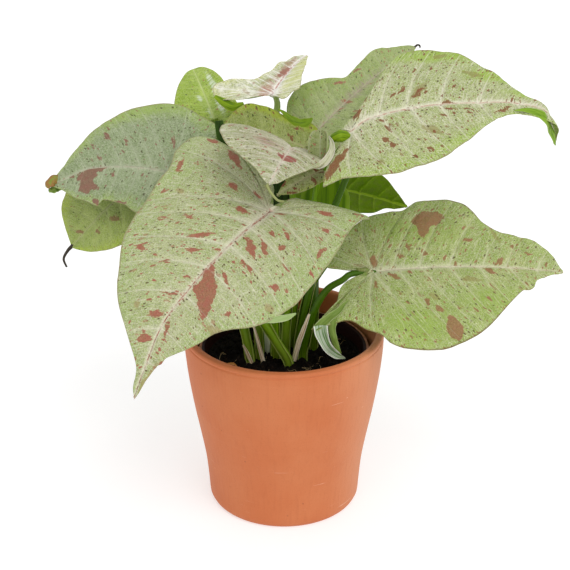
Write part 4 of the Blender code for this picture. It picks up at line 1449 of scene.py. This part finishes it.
# The finishes of the blades
CREAM = LeafFinish("cream_green", (178, 185, 132), (158, 173, 106), (150, 174, 92), (226, 222, 198),
                   (172, 108, 92), (104, 134, 46), blush_and_sheen=(222, 212, 190), patch=(160, 90, 72),
                   speck=(92, 74, 36), flecks=0.62, specks=0.90, streaks=0.45, lines=0.6, seed=3.0)
GREY = LeafFinish("grey_green", (146, 160, 120), (130, 148, 100), (150, 174, 84), (190, 196, 166),
                  (178, 170, 148), (98, 130, 40), patch=(136, 94, 78), speck=(80, 78, 44), flecks=0.22,
                  specks=0.85, streaks=0.30, lines=0.42, seed=11.0)
YELLOW = LeafFinish("yellow_green", (164, 179, 94), (140, 160, 68), (162, 184, 40), (180, 188, 128),
                    (172, 176, 120), (110, 136, 34), patch=(134, 104, 66), speck=(78, 88, 36), flecks=0.22,
                    specks=0.6, streaks=0.30, lines=0.30, seed=17.0)
# Its white blush is partly a painted highlight: the sheen along the back left leaf's fold
LIME = LeafFinish("lime_green", (170, 195, 72), (138, 168, 40), (146, 176, 30), (196, 212, 130),
                  (196, 208, 140), (112, 142, 30), blush_and_sheen=(222, 232, 208), flecks=0.10, specks=0.60,
                  streaks=0.40, lines=0.20, seed=23.0)
PINK = LeafFinish("pink_white", (240, 237, 212), (168, 178, 112), (204, 208, 122), (250, 248, 240),
                  (190, 130, 116), (122, 150, 20), blush_and_sheen=(176, 118, 104), patch=(158, 100, 86),
                  flecks=0.40, specks=0.4, streaks=0.95, lines=0.7, seed=29.0)
PALE = LeafFinish("pale_pink", (174, 171, 132), (144, 152, 94), (168, 178, 124), (220, 214, 196),
                  (196, 168, 148), (128, 146, 60), blush_and_sheen=(158, 118, 106), patch=(148, 66, 62),
                  speck=(84, 76, 42), flecks=0.24, specks=1.0, streaks=0.90, lines=0.5, seed=31.0)
SPECKLED = LeafFinish("speckled_green", (142, 153, 82), (120, 134, 56), (146, 162, 40), (172, 178, 120),
                      (164, 158, 116), (104, 138, 20), patch=(124, 70, 52), speck=(58, 66, 26), gloss=0.15,
                      flecks=0.30, specks=1.0, streaks=0.30, lines=0.3, seed=37.0)
# Painted light: a lighter copy of the speckled finish, for the leaf under the middle, which lies in shade
LIGHTENED_SPECKLED = LeafFinish("lightened_speckled_green", (168, 176, 116), (138, 150, 76), (150, 168, 60), (196, 196, 150),
                   (180, 166, 130), (104, 138, 20), patch=(128, 64, 52), speck=(66, 70, 34), gloss=0.15,
                   flecks=0.35, specks=1.0, streaks=0.40, lines=0.4, seed=39.0)
SUNLIT = LeafFinish("light_green", (176, 185, 126), (158, 173, 98), (152, 182, 56), (236, 232, 210),
                    (196, 150, 130), (104, 138, 24), blush_and_sheen=(230, 222, 204), patch=(130, 77, 44),
                    speck=(88, 80, 38), flecks=0.70, specks=1.0, streaks=0.45, lines=0.6, seed=41.0)
MID = LeafFinish("mid_green", (168, 180, 118), (150, 170, 92), (146, 172, 66), (186, 192, 150),
                 (186, 172, 150), (104, 134, 40), blush_and_sheen=(164, 146, 132), speck=(84, 92, 50), flecks=0.25,
                 specks=0.75, streaks=0.45, lines=0.4, seed=43.0)
BROAD = LeafFinish("broad_green", (166, 177, 104), (142, 165, 72), (146, 173, 64), (224, 222, 188),
                   (208, 196, 172), (104, 136, 40), blush_and_sheen=(194, 194, 162), patch=(152, 108, 74),
                   rim=(108, 76, 44), speck=(92, 80, 42), flecks=0.66, specks=1.0, streaks=0.45,
                   lines=0.44, seed=47.0)
# Painted light: a vivid saturated green that stands in for light shining through the low back leaf, which
# lies in shade
BACKLIT_SHADED = LeafFinish("backlit_shaded_green", (140, 182, 0), (108, 150, 0), (130, 172, 0), (160, 190, 50),
                    (170, 196, 70), (96, 132, 4), gloss=0.03, flecks=0.0, specks=0.2, streaks=0.3, seed=53.0)
LOBE = LeafFinish("pale_lobe", (146, 158, 100), (128, 142, 74), (186, 190, 150), (176, 182, 136),
                  (170, 174, 136), (132, 152, 70), rim=(150, 158, 104), speck=(70, 70, 36), gloss=0.15,
                  flecks=0.20, specks=1.0, streaks=0.4, lines=0.25, seed=59.0)

# The finishes of the stalks
BRIGHT_STALK = StalkFinish("bright_stalk", (112, 152, 8), (124, 166, 14), (120, 146, 34), (52, 84, 0))
DARK_STALK = StalkFinish("dark_stalk", (66, 102, 0), (70, 108, 0), (92, 122, 10), (32, 56, 0))
PALE_STALK = StalkFinish("pale_stalk", (150, 172, 90), (196, 206, 160), (224, 226, 204), (110, 134, 60))

# The blades, with the frame's own places and outlines, and each one's marks
FRONT = Blade(
    (-9, -20, 228), (-95, -117, 140), (-10, -63, 78), CREAM, droop=30, cup=24, columns=60, rows=15, seed=1,
    left=((-4, 2), (-11, 3.6), (-13.5, 8), (-17.8, 20.5), (-23, 35), (-18.7, 33.4), (-11, 32.6), (0, 34.3),
          (9.2, 35.5), (19, 35.5), (29, 34.8), (36, 33.7), (46, 29.5), (51.4, 25.3), (56.5, 19), (62, 14),
          (68, 10.8), (72.3, 8.2), (76.7, 4.6), (79.8, 2.4), (82.6, 2.3), (84, 1), (90, 0.3), (96, 0.2),
          (100, 0)),
    right=((-4, 2), (-13, 8), (-18, 27), (-23, 42), (-23.3, 51), (-19.5, 56.3), (-9, 56), (2, 51),
           (15, 50.7), (29, 48), (44, 44.5), (56, 38), (68, 30), (77.5, 18.7), (86.5, 8.2), (91, 4.8),
           (96, 3), (100, 0)),
    bow=((0, 0), (20, -3.6), (45, -6), (62, -7), (72, -6.4), (82, -4.2), (100, 0)),
    blots=((38, -4, 55, 4, 3), (44, 1, 50, 3.5, 2.6), (48, 4, 58, 6, 1.8), (47, -5, 52, 1, 1.6),
           (-18, -33, -12, -24, 1.7), (-1, -21, 0, -17, 1.3), (8, -12, 7, -7, 1), (3, -46, -2, -47, 1.2),
           (30, -20, 24, -13, 1), (36, -17, 33, -12, 0.8), (18, 1, 24, 8, 1.4), (16, 7, 21, 12, 1),
           (15, 15, 14, 16, 1.4), (7, 12, 9, 15, 0.9), (-10, 17, -12, 22, 1.1), (67, -13, 65, -10, 1.5),
           (78, -11, 76, -8, 1.5), (74, -13, 75, -11, 0.6), (31, 23, 32, 25, 1.1), (28, -36, 27, -33, 0.7),
           (22, -28, 22, -24, 0.8), (46, -23, 44, -21, 0.8), (45, -37, 45, -33, 0.9),
           (45, -28, 44, -26, 0.7), (57, -15, 54, -8, 0.6), (30, -8, 29, -6, 0.5), (21, 20, 22, 24, 0.6),
           (17, 32, 18, 33, 1), (10, 30, 5, 30, 0.9), (-4, 24, -4, 26, 0.9), (52, 14, 51, 15, 1.3),
           (29, 9, 31, 12, 0.9), (37, 2, 40, 6, 0.9), (28, 5, 30, 8, 0.7), (67, -5, 72, -3, 0.9),
           (30, 27, 30, 29, 0.8), (-21, -47, -21, -43, 1.3), (-4, -11, -3, -7, 0.8), (0, 3, -1, 6, 0.7),
           (10, 7, 11, 9, 0.9), (81, 2.1, 82.6, 1.8, 0.6)),
    stains=((60, 12, 62, 20, 2.2), (40, 26, 41, 28, 1.3), (66, -22, 67, -20, 1), (12, -40, 13, -36, 1),
            (83, 0.8, 97, 0, 0.9)),
    blushes_and_sheens=((4, -1, 13, 7, 0.6), (26, -4, 18, 4, 0.45), (55, -6, 20, 3, 0.45), (0, -30, 14, 8, 0.3),
             (-8, -14, 10, 9, 0.4), (85, -3, 10, 3, 0.35), (20, 24, 14, 8, -0.3), (60, -20, 14, 6, -0.35),
             (97, 0, 8, 4, -0.9), (42, 30, 16, 5, -0.35)))
LEFT = Blade(
    (-80, 40, 232), (-165, 56, 215), (-10, -68, 72), GREY, droop=20, fold=8, cup=12, seed=2,
    left=((-4, 2), (-15, 8), (-20, 22), (-6, 34), (22, 34.3), (34, 26.2), (41, 23.6), (47.3, 21.2),
          (52.8, 20.6), (55.4, 25.6), (66, 19.8), (77, 14.6), (84.4, 9), (90.3, 5), (100, 0)),
    right=((-4, 2), (-24, 14), (-42, 34), (-38, 39), (-24.4, 48), (-16, 54.2), (-5, 58), (9.7, 61.1),
           (23, 60.2), (35.3, 56.2), (45, 51), (55.2, 46.2), (65.5, 39.9), (73.4, 31.1), (79.2, 24),
           (85.2, 16.8), (90.7, 12), (94.6, 7.6), (100, 0)),
    bow=((0, 0), (14, -3.5), (30, -6.5), (49, -8.6), (64, -9.2), (73, -8), (83, -4.7), (92, -1.5),
         (100, 0)),
    blots=((73, -6, 53, -7.5, 2.4), (70, -3, 62, -2, 5), (66, 6, 57, 10, 2.6), (71, 7, 68, 10, 2.8),
           (67, -1, 66, 8, 5.4), (59, 20, 56, 23, 2.2), (41, 23, 34, 25, 1.3), (52, -36, 49, -33, 1.9),
           (35, -29, 34, -27, 1.3), (58, -18, 56, -16, 1.4), (-3, -31, -4, -21, 1.1), (45, -1, 44, 0, 1.4),
           (81, -4, 79, -4, 1)),
    blushes_and_sheens=((8, -57, 28, 8, -0.75), (45, -50, 22, 6, -0.6), (74, -30, 12, 5, -0.4)))
LOWER_LEFT = Blade(
    (-95, 62, 223), (-152, 52, 169), (-20, -55, 80), YELLOW, droop=25, fold=8, cup=15, seed=3,
    left=((-4, 2), (-16, 9), (-27, 24), (-24, 40), (-6, 48), (20, 50), (45, 46), (66, 37), (83, 24),
          (94, 10), (100, 0)),
    right=((-4, 2), (-16, 9), (-27, 26), (-22, 44), (-2, 53), (25, 56), (55, 54), (77, 46), (88, 32),
           (95, 14), (100, 0)),
    blots=((87, -8, 81, 0, 1.7), (70, 10, 68, 14, 1.7), (51, 13, 47, 19, 2.4)))
BACK_LEFT = Blade(
    (-50, 90, 253), (-67, 138, 274), (-10, -50, 85), LIME, droop=30, cup=15, seed=4, rows=9, columns=32,
    left=((-4, 2), (-16, 9), (-27, 24), (-20, 40), (0, 46), (22, 45), (40, 41.5), (53, 35.5), (69, 28),
          (85.5, 17.5), (96, 7.5), (100, 0)),
    right=((-4, 2), (-16, 9), (-24, 20), (-22, 31), (-8, 36), (14, 35), (38, 31), (58, 29.3), (69, 26.6),
           (82, 21.5), (91.8, 16), (97.5, 9), (100, 0)),
    # Partly pale streaks of the leaf's own and partly a painted highlight of white sheen along the fold
    blushes_and_sheens=((16, -14, 16, 5, 1.1), (42, -16, 18, 5, 1.1), (68, -14, 14, 4, 0.9), (34, 8, 14, 4, 0.7),
             (10, 2, 12, 4, 0.7)))
BACK_PALE = Blade(
    (-8, 64, 281), (17, 128, 288), (-30, -50, 80), PINK, droop=20, fold=14, cup=10, wave=3.2, ruffle=1.1,
    seed=5, rows=10, columns=36,
    left=((-4, 2), (-10, 14), (-17, 28), (-21, 42), (-14, 57), (0, 64), (7, 52), (12, 38), (22, 24),
          (44, 17), (75, 12), (92, 5), (100, 0)),
    right=((-4, 2), (-10, 10), (-12, 20), (-2, 28), (8, 29), (27, 23), (52, 17), (78, 9), (100, 0)),
    blots=((-9, 7, -12, -2, 4.1), (33, 4, 52, 2, 3.1)),
    stains=((58, 7, 72, 6, 3), (14, 14, 24, 9, 2.6), (-8, 22, -2, 30, 2)),
    blushes_and_sheens=((2, 8, 16, 10, 0.9), (45, 4, 24, 6, 0.9), (75, 6, 14, 5, 0.6), (40, -14, 44, 9, -1.5),
             (80, -6, 20, 5, -1), (-8, 40, 8, 14, -0.5)))
CENTRE_PALE = Blade(
    (5, 2, 265), (-10, -48, 258), (14, -68, 80), PALE, droop=40, cup=15, seed=6,
    left=((-4, 2), (-14, 10), (-24, 22), (-26, 36), (-12, 46), (6, 48), (22, 45), (52, 32), (76, 18),
          (89, 11), (100, 0)),
    right=((-4, 2), (-10, 12), (-15, 23), (-19, 38), (-19, 52), (-14, 68), (-8, 82), (4, 91), (22, 90),
           (40, 85), (53, 77), (64, 64), (76, 46), (84, 26), (93, 12), (100, 0)),
    blots=((42, -2, 42, 9, 7),),
    blushes_and_sheens=((24, -30, 16, 24, 0.85), (16, 10, 14, 12, 0.5), (80, -10, 16, 14, -0.5)))
CENTRE_GREEN = Blade(
    (14, 32, 254), (-42, 40, 265), (-10, -50, 85), SPECKLED, droop=25, cup=12, seed=7, rows=10,
    left=((-4, 2), (-12, 10), (-10, 20), (10, 26), (40, 28), (70, 22), (90, 8), (100, 0)),
    right=((-4, 2), (-12, 14), (-10, 28), (4, 34), (26, 30), (49, 37), (71, 40), (86, 31), (96, 14),
           (100, 0)),
    blots=((22, -8, 14, -1, 1.7), (16, -19, 12, -20, 1.6)),
    blushes_and_sheens=((0, -30, 16, 8, -1.2), (30, -30, 18, 7, -1.2), (60, -38, 22, 8, -1.2)))
UNDER_CENTRE = Blade(
    (25, 5, 247), (-5, -9, 235), (-10, -60, 80), LIGHTENED_SPECKLED, droop=20, cup=12, seed=8, rows=8, columns=28,
    left=((-4, 2), (-10, 10), (-8, 20), (10, 24), (35, 26), (60, 23), (78, 15), (92, 5), (100, 0)),
    right=((-4, 2), (-10, 10), (-8, 18), (14, 20), (40, 20), (65, 17), (80, 11), (92, 4), (100, 0)),
    blots=((85, -11, 72, -14, 4.5), (24, 7, 25, 17, 3.7), (7, -7, 1, 2, 5.6), (65, 8, 63, 12, 3.1),
           (77, 12, 67, 18, 2.1)))
RIGHT = Blade(
    (45, 10, 274), (186.8, 40.9, 251.6), (0, -40, 90), SUNLIT, droop=51.6, hook=51.1, hook_at=0.82, fold=3,
    cup=15, twist=-115, twist_start=0.8, columns=60, rows=15, seed=9,
    left=((-4, 2), (-1, 5), (4, 8.5), (10.6, 16.4), (15.4, 23), (20.2, 30), (25, 36), (31, 38.8),
          (38, 38.2), (45, 35), (51.5, 31), (60.5, 21.3), (65.2, 16.4), (70, 11), (75, 7), (82, 4.6),
          (90, 2.4), (95, 1.3), (100, 0)),
    right=((-4, 2), (-7, 7), (-12.7, 15), (-16, 22.6), (-13.5, 22.8), (-7.3, 23.1), (2.2, 26), (11.5, 27.9),
           (18, 27.9), (25.6, 27), (33.4, 25), (39.4, 21.2), (45.7, 16.2), (53.6, 9.7), (60.3, 5), (67, 3),
           (80, 4.6), (88, 2.8), (94, 1.4), (100, 0)),
    bow=((0, 0), (7, 3), (16, 3.3), (36, 3), (49, 2.4), (61, 2.9), (70, 3), (85, 1), (100, 0)),
    blots=((-3, -9.5, -13, -19.5, 1.7), (29, 18.5, 31, 20, 0.5), (22, 12, 24, 14.5, 0.7),
           (18, 11, 20, 12, 0.7), (27, 9, 31, 12, 0.8), (38, 7, 39, 8, 0.6), (37.5, 4, 42, 2.6, 0.8),
           (38, 0, 41, -1.3, 0.6), (22.5, 3, 24, 1.8, 0.7), (11.5, 0.6, 12.5, -0.5, 0.9),
           (13.7, -3.5, 14.8, -6.7, 1), (11.5, -10.5, 12.5, -11.7, 1.1), (14, -14, 14.8, -16, 0.9),
           (2.5, 5.9, 5, 8, 1.2), (43, 11, 44, 11.6, 0.6), (45, -1.6, 48, -2.1, 0.6),
           (45.5, -4, 48, -4.5, 0.6), (36, -3.5, 37, -4.6, 0.7), (58, -3.4, 64, -0.4, 0.8),
           (27.5, -20.2, 28.6, -21, 0.7)),
    stains=((26, 8, 32, 14, 1.6), (40.5, 32.2, 43.5, 31.8, 1.7), (49.5, 19.4, 54.5, 17.6, 1.7),
            (28.5, -8.8, 33.5, -13, 1.8), (8, -21, 9, -22, 1.4)),
    blushes_and_sheens=((6, 3, 12, 4, 0.35), (2, -4, 7, 6, 0.5), (7, 9, 7, 5, 0.38), (13, 18, 8, 4, 0.45),
             (34, 3, 16, 2, 0.25), (60, 4, 16, 2, 0.5), (76, 3, 12, 2, 0.45), (30, 36, 14, 4.5, -1.1),
             (46, 33, 14, 4.5, -1.1), (62, 18, 13, 4, -1.1), (73, 8, 10, 3, -0.9), (40, -19, 16, 4, -0.4),
             (94, 0, 8, 6, -1.3)))
BACK_RIGHT = Blade(
    (24, 58, 257), (95, 122, 296), (-10, -40, 90), MID, droop=20, fold=8, cup=12, seed=10,
    left=((-4, 2), (-8, 12), (-5, 24), (3, 31), (12, 34.5), (19, 34), (26, 32), (33.5, 27), (38, 20.5),
          (43, 15), (52, 15.2), (63, 16.8), (73, 18), (81.5, 15.8), (89.2, 10.1), (96.5, 4.9), (100, 0)),
    right=((-4, 2), (-10, 10), (-14, 18), (0, 24), (30, 24), (60, 18), (85, 8), (100, 0)),
    blots=((35, 16, 39, 12, 1.4), (28, 2, 29, -4, 1.4), (51, 13, 55, 12, 1.2), (19, -1, 22, -2, 0.8)),
    blushes_and_sheens=((35, 0, 40, 6, 0.75), (20, 26, 20, 7, -0.5)))
LOWER_RIGHT = Blade(
    (61, -5, 177), (196, 22, 163), (0, -55, 83), BROAD, fold=8, cup=20, sweep=0.62, columns=60, rows=15,
    seed=11,
    left=((-4, 1.5), (-9.3, 1.6), (-16, 2.6), (-22, 5), (-23.5, 9), (-21, 13.5), (-13.3, 21.9),
          (-5.8, 27.5), (3.2, 31.9), (12, 33), (19.6, 34.2), (27.6, 39.4), (38, 41), (48.6, 39), (55.6, 32),
          (60, 25.3), (68, 20.3), (76.5, 18.3), (84, 17.5), (90.7, 12.8), (95.9, 7), (100, 0)),
    right=((-4, 2), (-12, 3.4), (-17, 7.5), (-19.2, 13.5), (-21.5, 20), (-27, 24.5), (-34, 29), (-22, 26.5),
           (-14, 27), (-8, 32.5), (-1, 36), (3, 41), (11, 44), (22, 45.3), (32, 44.7), (45, 40), (56, 31),
           (66, 20.8), (73.6, 13.8), (75.6, 13.4), (80, 11.6), (82.4, 7.6), (84.4, 6), (88, 4.6),
           (93.4, 1.8), (97, 1), (100, 0)),
    blots=((27, 27, 36, 29, 4.4), (29, 26, 27, 19, 3), (34, -32, 35, -38, 3.7), (1, 7, 1, 3, 1.8),
           (8, -3, 12, -6, 1.3), (57, -2, 60, -4, 1.5), (63, 2, 66, 4, 1.3), (26, 8, 28, 7, 1.2),
           (48, 14, 51, 15, 1), (14, 7, 16, 6, 0.9), (18, 13, 19, 10, 0.8), (0, -7, 0, -10, 0.9),
           (28, -24, 30, -26, 1.4), (23, -19, 24, -21, 0.9), (17, -2, 19, -3, 0.9), (51, 2, 52, 3, 0.7),
           (72, 12, 73, 12, 1.1), (79, 8, 82, 8, 0.6)),
    stains=((26, -17, 29, -19, 1.6), (44, -8, 52, -9, 1.4), (62, 24, 66, 14, 1.2)),
    blushes_and_sheens=((4, 0, 16, 8, 0.6), (36, 0, 26, 3, 0.35), (75, 0, 20, 3, 0.3), (-6, 14, 10, 8, 0.4),
             (15, -32, 20, 12, -0.8), (38, 18, 18, 12, -0.5), (56, -20, 18, 9, -0.7),
             (14, 22, 14, 10, -0.5)))
BACK_LOW = Blade(
    (16, 66, 213), (90, 82, 188), (10, 90, 25), BACKLIT_SHADED, droop=25, fold=8, cup=10, seed=12,
    left=((-4, 2), (-16, 9), (-30, 20), (-32, 36), (-16, 44), (10, 42), (34, 36), (56, 29), (73, 22),
          (82, 12), (92, 7), (100, 0)),
    right=((-4, 2), (-16, 9), (-24, 20), (-14, 30), (4, 34), (28, 32), (50, 27), (69, 21), (84, 11),
           (94, 4), (100, 0)))
# The lobe of the pale middle leaf, which stands up and cups toward the viewer
CENTRE_LOBE = Blade(
    (24, -2, 252), (24.5, 8, 275.5), (-25, -80, 10), LOBE, droop=10, fold=12, cup=-80, seed=14, rows=8,
    columns=28,
    left=((-2, 2), (2, 14), (18, 28), (45, 36), (72, 35), (93, 22), (100, 0)),
    right=((-2, 2), (4, 18), (20, 32), (45, 38), (74, 36), (93, 22), (100, 0)))

# The leaves: name, slot, blade, where the stalk leaves the soil, and the stalk's finish
LEAVES = (
    Leaf("front", "speckled_leaf", FRONT, (-6, -3), BRIGHT_STALK),
    Leaf("left", "grey_green_leaf", LEFT, (3, -13), BRIGHT_STALK,
         through=((-4, -12, 124), (-24, -9, 158), (-54, 8, 196))),
    Leaf("lower_left", "yellow_green_leaf", LOWER_LEFT, (-24, -5), BRIGHT_STALK),
    Leaf("back_left", "yellow_green_leaf", BACK_LEFT, (-17, 2), BRIGHT_STALK),
    Leaf("back_pale", "pale_leaf", BACK_PALE, (-12, 10), PALE_STALK,
         through=((-12, 18, 130), (-12, 48, 180), (-10, 67, 240))),
    Leaf("centre_pale", "pale_leaf", CENTRE_PALE, (1, 6), BRIGHT_STALK,
         through=((2, 10, 135), (4, 14, 180), (6, 14, 225))),
    Leaf("centre_green", "speckled_leaf", CENTRE_GREEN, (-4, 18), BRIGHT_STALK),
    Leaf("under_centre", "speckled_leaf", UNDER_CENTRE, (6, 15), BRIGHT_STALK, stalk_radius=2.2),
    Leaf("right", "speckled_leaf", RIGHT, (10, 6), DARK_STALK,
         through=((11, 7, 125), (18, 8, 158), (28, 10, 200))),
    Leaf("back_right", "grey_green_leaf", BACK_RIGHT, (21, 12), DARK_STALK,
         through=((21, 18, 150), (21, 30, 195), (22, 46, 230))),
    Leaf("lower_right", "speckled_leaf", LOWER_RIGHT, (13, -4), DARK_STALK, stalk_radius=3.2, behind=True,
         through=((14, -4, 120), (20, -7, 146), (29, -8, 164), (40, -8, 172))),
    Leaf("back_low", "green_underside_leaf", BACK_LOW, (14, 19), DARK_STALK),
)

# The finishes of the small curled forms
BRIGHT = StripFinish("bright_curl", (126, 154, 22), (88, 120, 10), (150, 172, 60), 700, 60)
FLAP = StripFinish("rim_green", (106, 134, 20), (80, 108, 8), (132, 150, 44), 500, 90)
ROLLED = StripFinish("rolled_green", (152, 172, 112), (134, 158, 92), (188, 198, 150), 400, 60)
BAND = StripFinish("pale_band", (190, 190, 160), (156, 160, 118), (212, 206, 190), 600, 90)
LINK = StripFinish("lappet_green", (120, 142, 66), (98, 124, 46), (156, 172, 112), 600, 80)
SILVER = StripFinish("silver_lappet", (182, 196, 172), (96, 134, 70), (228, 232, 218), 1000, 26)
DRY = StripFinish("dry_sheath", (250, 236, 206), (182, 142, 108), (252, 244, 224))
BROWN = StripFinish("brown_tip", (150, 112, 62), (126, 142, 60), (120, 78, 46), 220, 160)
DRIP = StripFinish("drip_tip", (150, 156, 100), (110, 112, 66))
DARK = StripFinish("dry_drip_tip", (64, 58, 48), (40, 36, 32))
TIP_GREEN = StripFinish("tip_green", (126, 160, 44), (96, 132, 20), (150, 176, 84), 500, 60)
YOUNG = StripFinish("young_green", (112, 148, 6), (78, 116, 0), (130, 162, 40), 260, 12)
# Painted shade: the near black green of the strips put in shaded gaps
DEEP = StripFinish("deep_shade_green", (44, 70, 12), (30, 50, 8), (60, 88, 22), 500, 30)

# The small curled forms: a lappet, curled and rolled margins, drip tips, a young leaf, dark strips of
# painted shade in the gaps between the leaves, and dry sheaths
STRIPS = (
    Strip("lower_right_lappet_fold", "speckled_leaf", LINK,
          ((43.5, -27.6, 165.8), (40.6, -29.8, 164.2), (36.8, -33, 160.8), (30.9, -35.6, 157.2),
           (25.4, -39.6, 154.4), (20.9, -42.2, 152)),
          (-10, -70, 45), (0.6, 3.4, 5, 6, 7, 4), (20, 40, 60, 80, 90, 60), ripple=0.5),
    Strip("lower_right_lappet", "speckled_leaf", SILVER,
          ((24.6, -42, 154.6), (25.4, -41.2, 148), (27.6, -40, 140.8), (31, -38.4, 134.2),
           (36, -36.4, 128.8), (41.5, -34, 125.3)),
          (-10, -80, 40), (10.5, 9.5, 7.5, 7, 5.6, 0.6), (70, 80, 60, 60, 50, 10), ripple=0.5),
    Strip("lower_right_lappet_back", "speckled_leaf", LINK,
          ((33.6, -36, 156.6), (32.4, -37.6, 149.6), (33.8, -36.8, 142), (35.8, -35.8, 135),
           (38.4, -34.6, 129.2)),
          (10, -80, 30), (6, 5, 4.5, 4, 1), (-60, -90, -100, -90, -40), ripple=0.4),
    Strip("left_tip_curl", "grey_green_leaf", BROWN,
          ((-156, 57, 216), (-159, 56, 218.6), (-162.6, 55, 219.6), (-165.6, 54, 217.6), (-167, 54, 214.6)),
          (-20, -60, 40), (5, 8, 8.5, 7, 3), (-40, -60, -80, -80, -40), ripple=0.5),
    Strip("left_tip_flap", "grey_green_leaf", LINK,
          ((-157, 56, 213.4), (-160, 55.5, 213.6), (-163, 55, 212.6), (-166, 54.5, 211.6)),
          (-20, -60, 40), (3, 5.5, 5.5, 2), (-20, -40, -50, -20), ripple=0.4),
    Strip("lower_left_drip_tip", "yellow_green_leaf", DARK,
          ((-151, 52, 171), (-155, 51, 167), (-158, 50, 161), (-156, 49, 155)),
          (-10, -60, 30), (3, 2.4, 1.8, 1.2), (-150, -200, -240, -260)),
    Strip("centre_drip_tip", "pale_leaf", DRIP,
          ((-11, -48, 259), (-8, -48, 253), (-4, -48, 248), (0, -48, 247)),
          (10, -60, 50), (3.5, 2, 1.6, 1), (-150, -220, -240, -260)),
    Strip("back_right_drip_tip", "grey_green_leaf", DARK,
          ((92.2, 120.4, 293.6), (94, 121, 296), (95.8, 121.2, 297.6), (97.4, 121, 297.4),
           (98, 120.6, 295.8)),
          (-10, -60, 30), (1.5, 1.3, 1.1, 0.9, 0.5), (-120, -160, -200, -240, -260)),
    Strip("right_junction_curl", "speckled_leaf", BRIGHT,
          ((30.5, 4, 268), (33, 2, 272), (37, 1, 274), (41, 3, 273), (45, 7, 270)),
          (-10, -60, 40), (3, 9, 12, 11, 4), (-120, -170, -180, -170, -100), ripple=0.3),
    Strip("back_pale_curl", "pale_leaf", BRIGHT,
          ((-48, 64, 279), (-41, 61, 275), (-35, 59, 273), (-28, 60, 275)),
          (0, -70, 20), (2, 6, 7, 2), (-40, -80, -100, -60), ripple=0.4),
    Strip("centre_green_flap", "speckled_leaf", FLAP,
          ((-4, 48.7, 274.8), (0, 47, 272.8), (4.8, 44.8, 269.3), (10.3, 44, 266.8), (15.8, 44.8, 267),
           (19.6, 46, 269.2)),
          (0, -60, 55), (0.5, 3, 5, 7, 7, 1), (-10, -40, -60, -90, -80, -30), ripple=0.3),
    Strip("centre_lobe_band", "pale_leaf", BAND,
          ((12, -16, 259.4), (17, -14.5, 258.4), (22.9, -13, 257.8), (27.1, -11, 259.5), (30.3, -8, 262.8),
           (32, -4, 266.3), (31.6, 0, 269.9), (29.7, 3, 272.6)),
          (-15, -75, 35), (0.6, 2.6, 4.6, 6, 5.6, 4.4, 3, 0.8), (10, 40, 70, 80, 80, 70, 60, 30),
          ripple=0.2),
    # Painted shade: a dark strip put in a shaded gap between the leaves and stalks
    Strip("shade_fill_centre", "green_underside_leaf", DEEP,
          ((1, 12, 112), (1, 14, 150), (-2, 18, 190), (-4, 20, 206), (-4, 22, 222), (-4, 24, 237)),
          (5, -80, 35), (3, 3, 3, 18, 24, 14), (150, 120, 90, 40, 30, 30)),
    Strip("young_leaf_right", "green_underside_leaf", YOUNG,
          ((18, 14, 112), (20, 18, 160), (25, 24, 192), (27.5, 26, 205), (28.5, 28, 218), (28.5, 30, 230),
           (28, 32, 242)),
          (-5, -80, 35), (3, 3, 5, 26, 36, 34, 10), (150, 120, 90, 25, 20, 20, 20), ripple=0.4),
    # Painted shade: a dark strip put in a shaded gap left of the middle
    Strip("shade_fill_left", "green_underside_leaf", DEEP,
          ((-18, 10, 112), (-22, 20, 170), (-32, 34, 225), (-40, 41, 248), (-43.2, 43.4, 258),
           (-44.8, 44.8, 268)),
          (-5, -80, 35), (3, 3, 3, 8, 9, 6), (150, 120, 90, 30, 30, 30)),
    Strip("right_tip_fold", "speckled_leaf", TIP_GREEN,
          ((153.6, 16, 285.6), (161.2, 18.6, 285), (168.7, 19.6, 283.4), (175.1, 19.4, 280),
           (181.4, 30.6, 267.6), (186.4, 38.4, 252.6)),
          (10, -60, 60), (0.4, 4, 7, 8, 5, 0.8), (-20, -40, -60, -70, -60, -30), ripple=0.4),
    Strip("front_rolled_margin", "speckled_leaf", ROLLED,
          ((-12, -92.6, 182.2), (-8.5, -92, 183), (-4.3, -91.5, 184), (2.3, -90, 184.8), (7.7, -88, 186.4)),
          (10, -70, 50), (0.6, 3.2, 4.4, 3.4, 0.4), (-30, -60, -80, -90, -60), ripple=0.3),
    Strip("sheath_strip_left", "leaf_stalk", DRY,
          ((-21, -9, 137), (-18.7, -9, 128), (-14, -8, 106)),
          (5, -80, 20), (1, 2.4, 3), (-60, -110, -130)),
    Strip("sheath_strip_right", "leaf_stalk", DRY,
          ((17.5, -12, 148), (14, -12, 137), (10, -12, 125), (6.5, -11, 111)),
          (-30, -80, 20), (1.6, 3.6, 3.8, 3.6), (40, 80, -90, -120)),
    Strip("sheath_stub", "leaf_stalk", DRY,
          ((-28.5, -8, 122), (-26, -8, 116), (-23, -8, 107)),
          (-20, -80, 20), (0.8, 2.6, 3.4), (-60, -130, -160)),
)


def main() -> None:
    """Builds the pots, the soil and the leaves round the frame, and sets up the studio."""
    logging.basicConfig(level=logging.INFO, format="%(message)s")
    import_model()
    Studio().build()
    ClayPot().build()
    NurseryPot().build()
    Soil().build()
    for leaf in LEAVES:
        leaf.build()
    place("centre_standing_lobe", CENTRE_LOBE.shell(), [LOBE.material(side) for side in Side], "pale_leaf")
    for strip in STRIPS:
        strip.build()


if __name__ == "__main__":
    main()
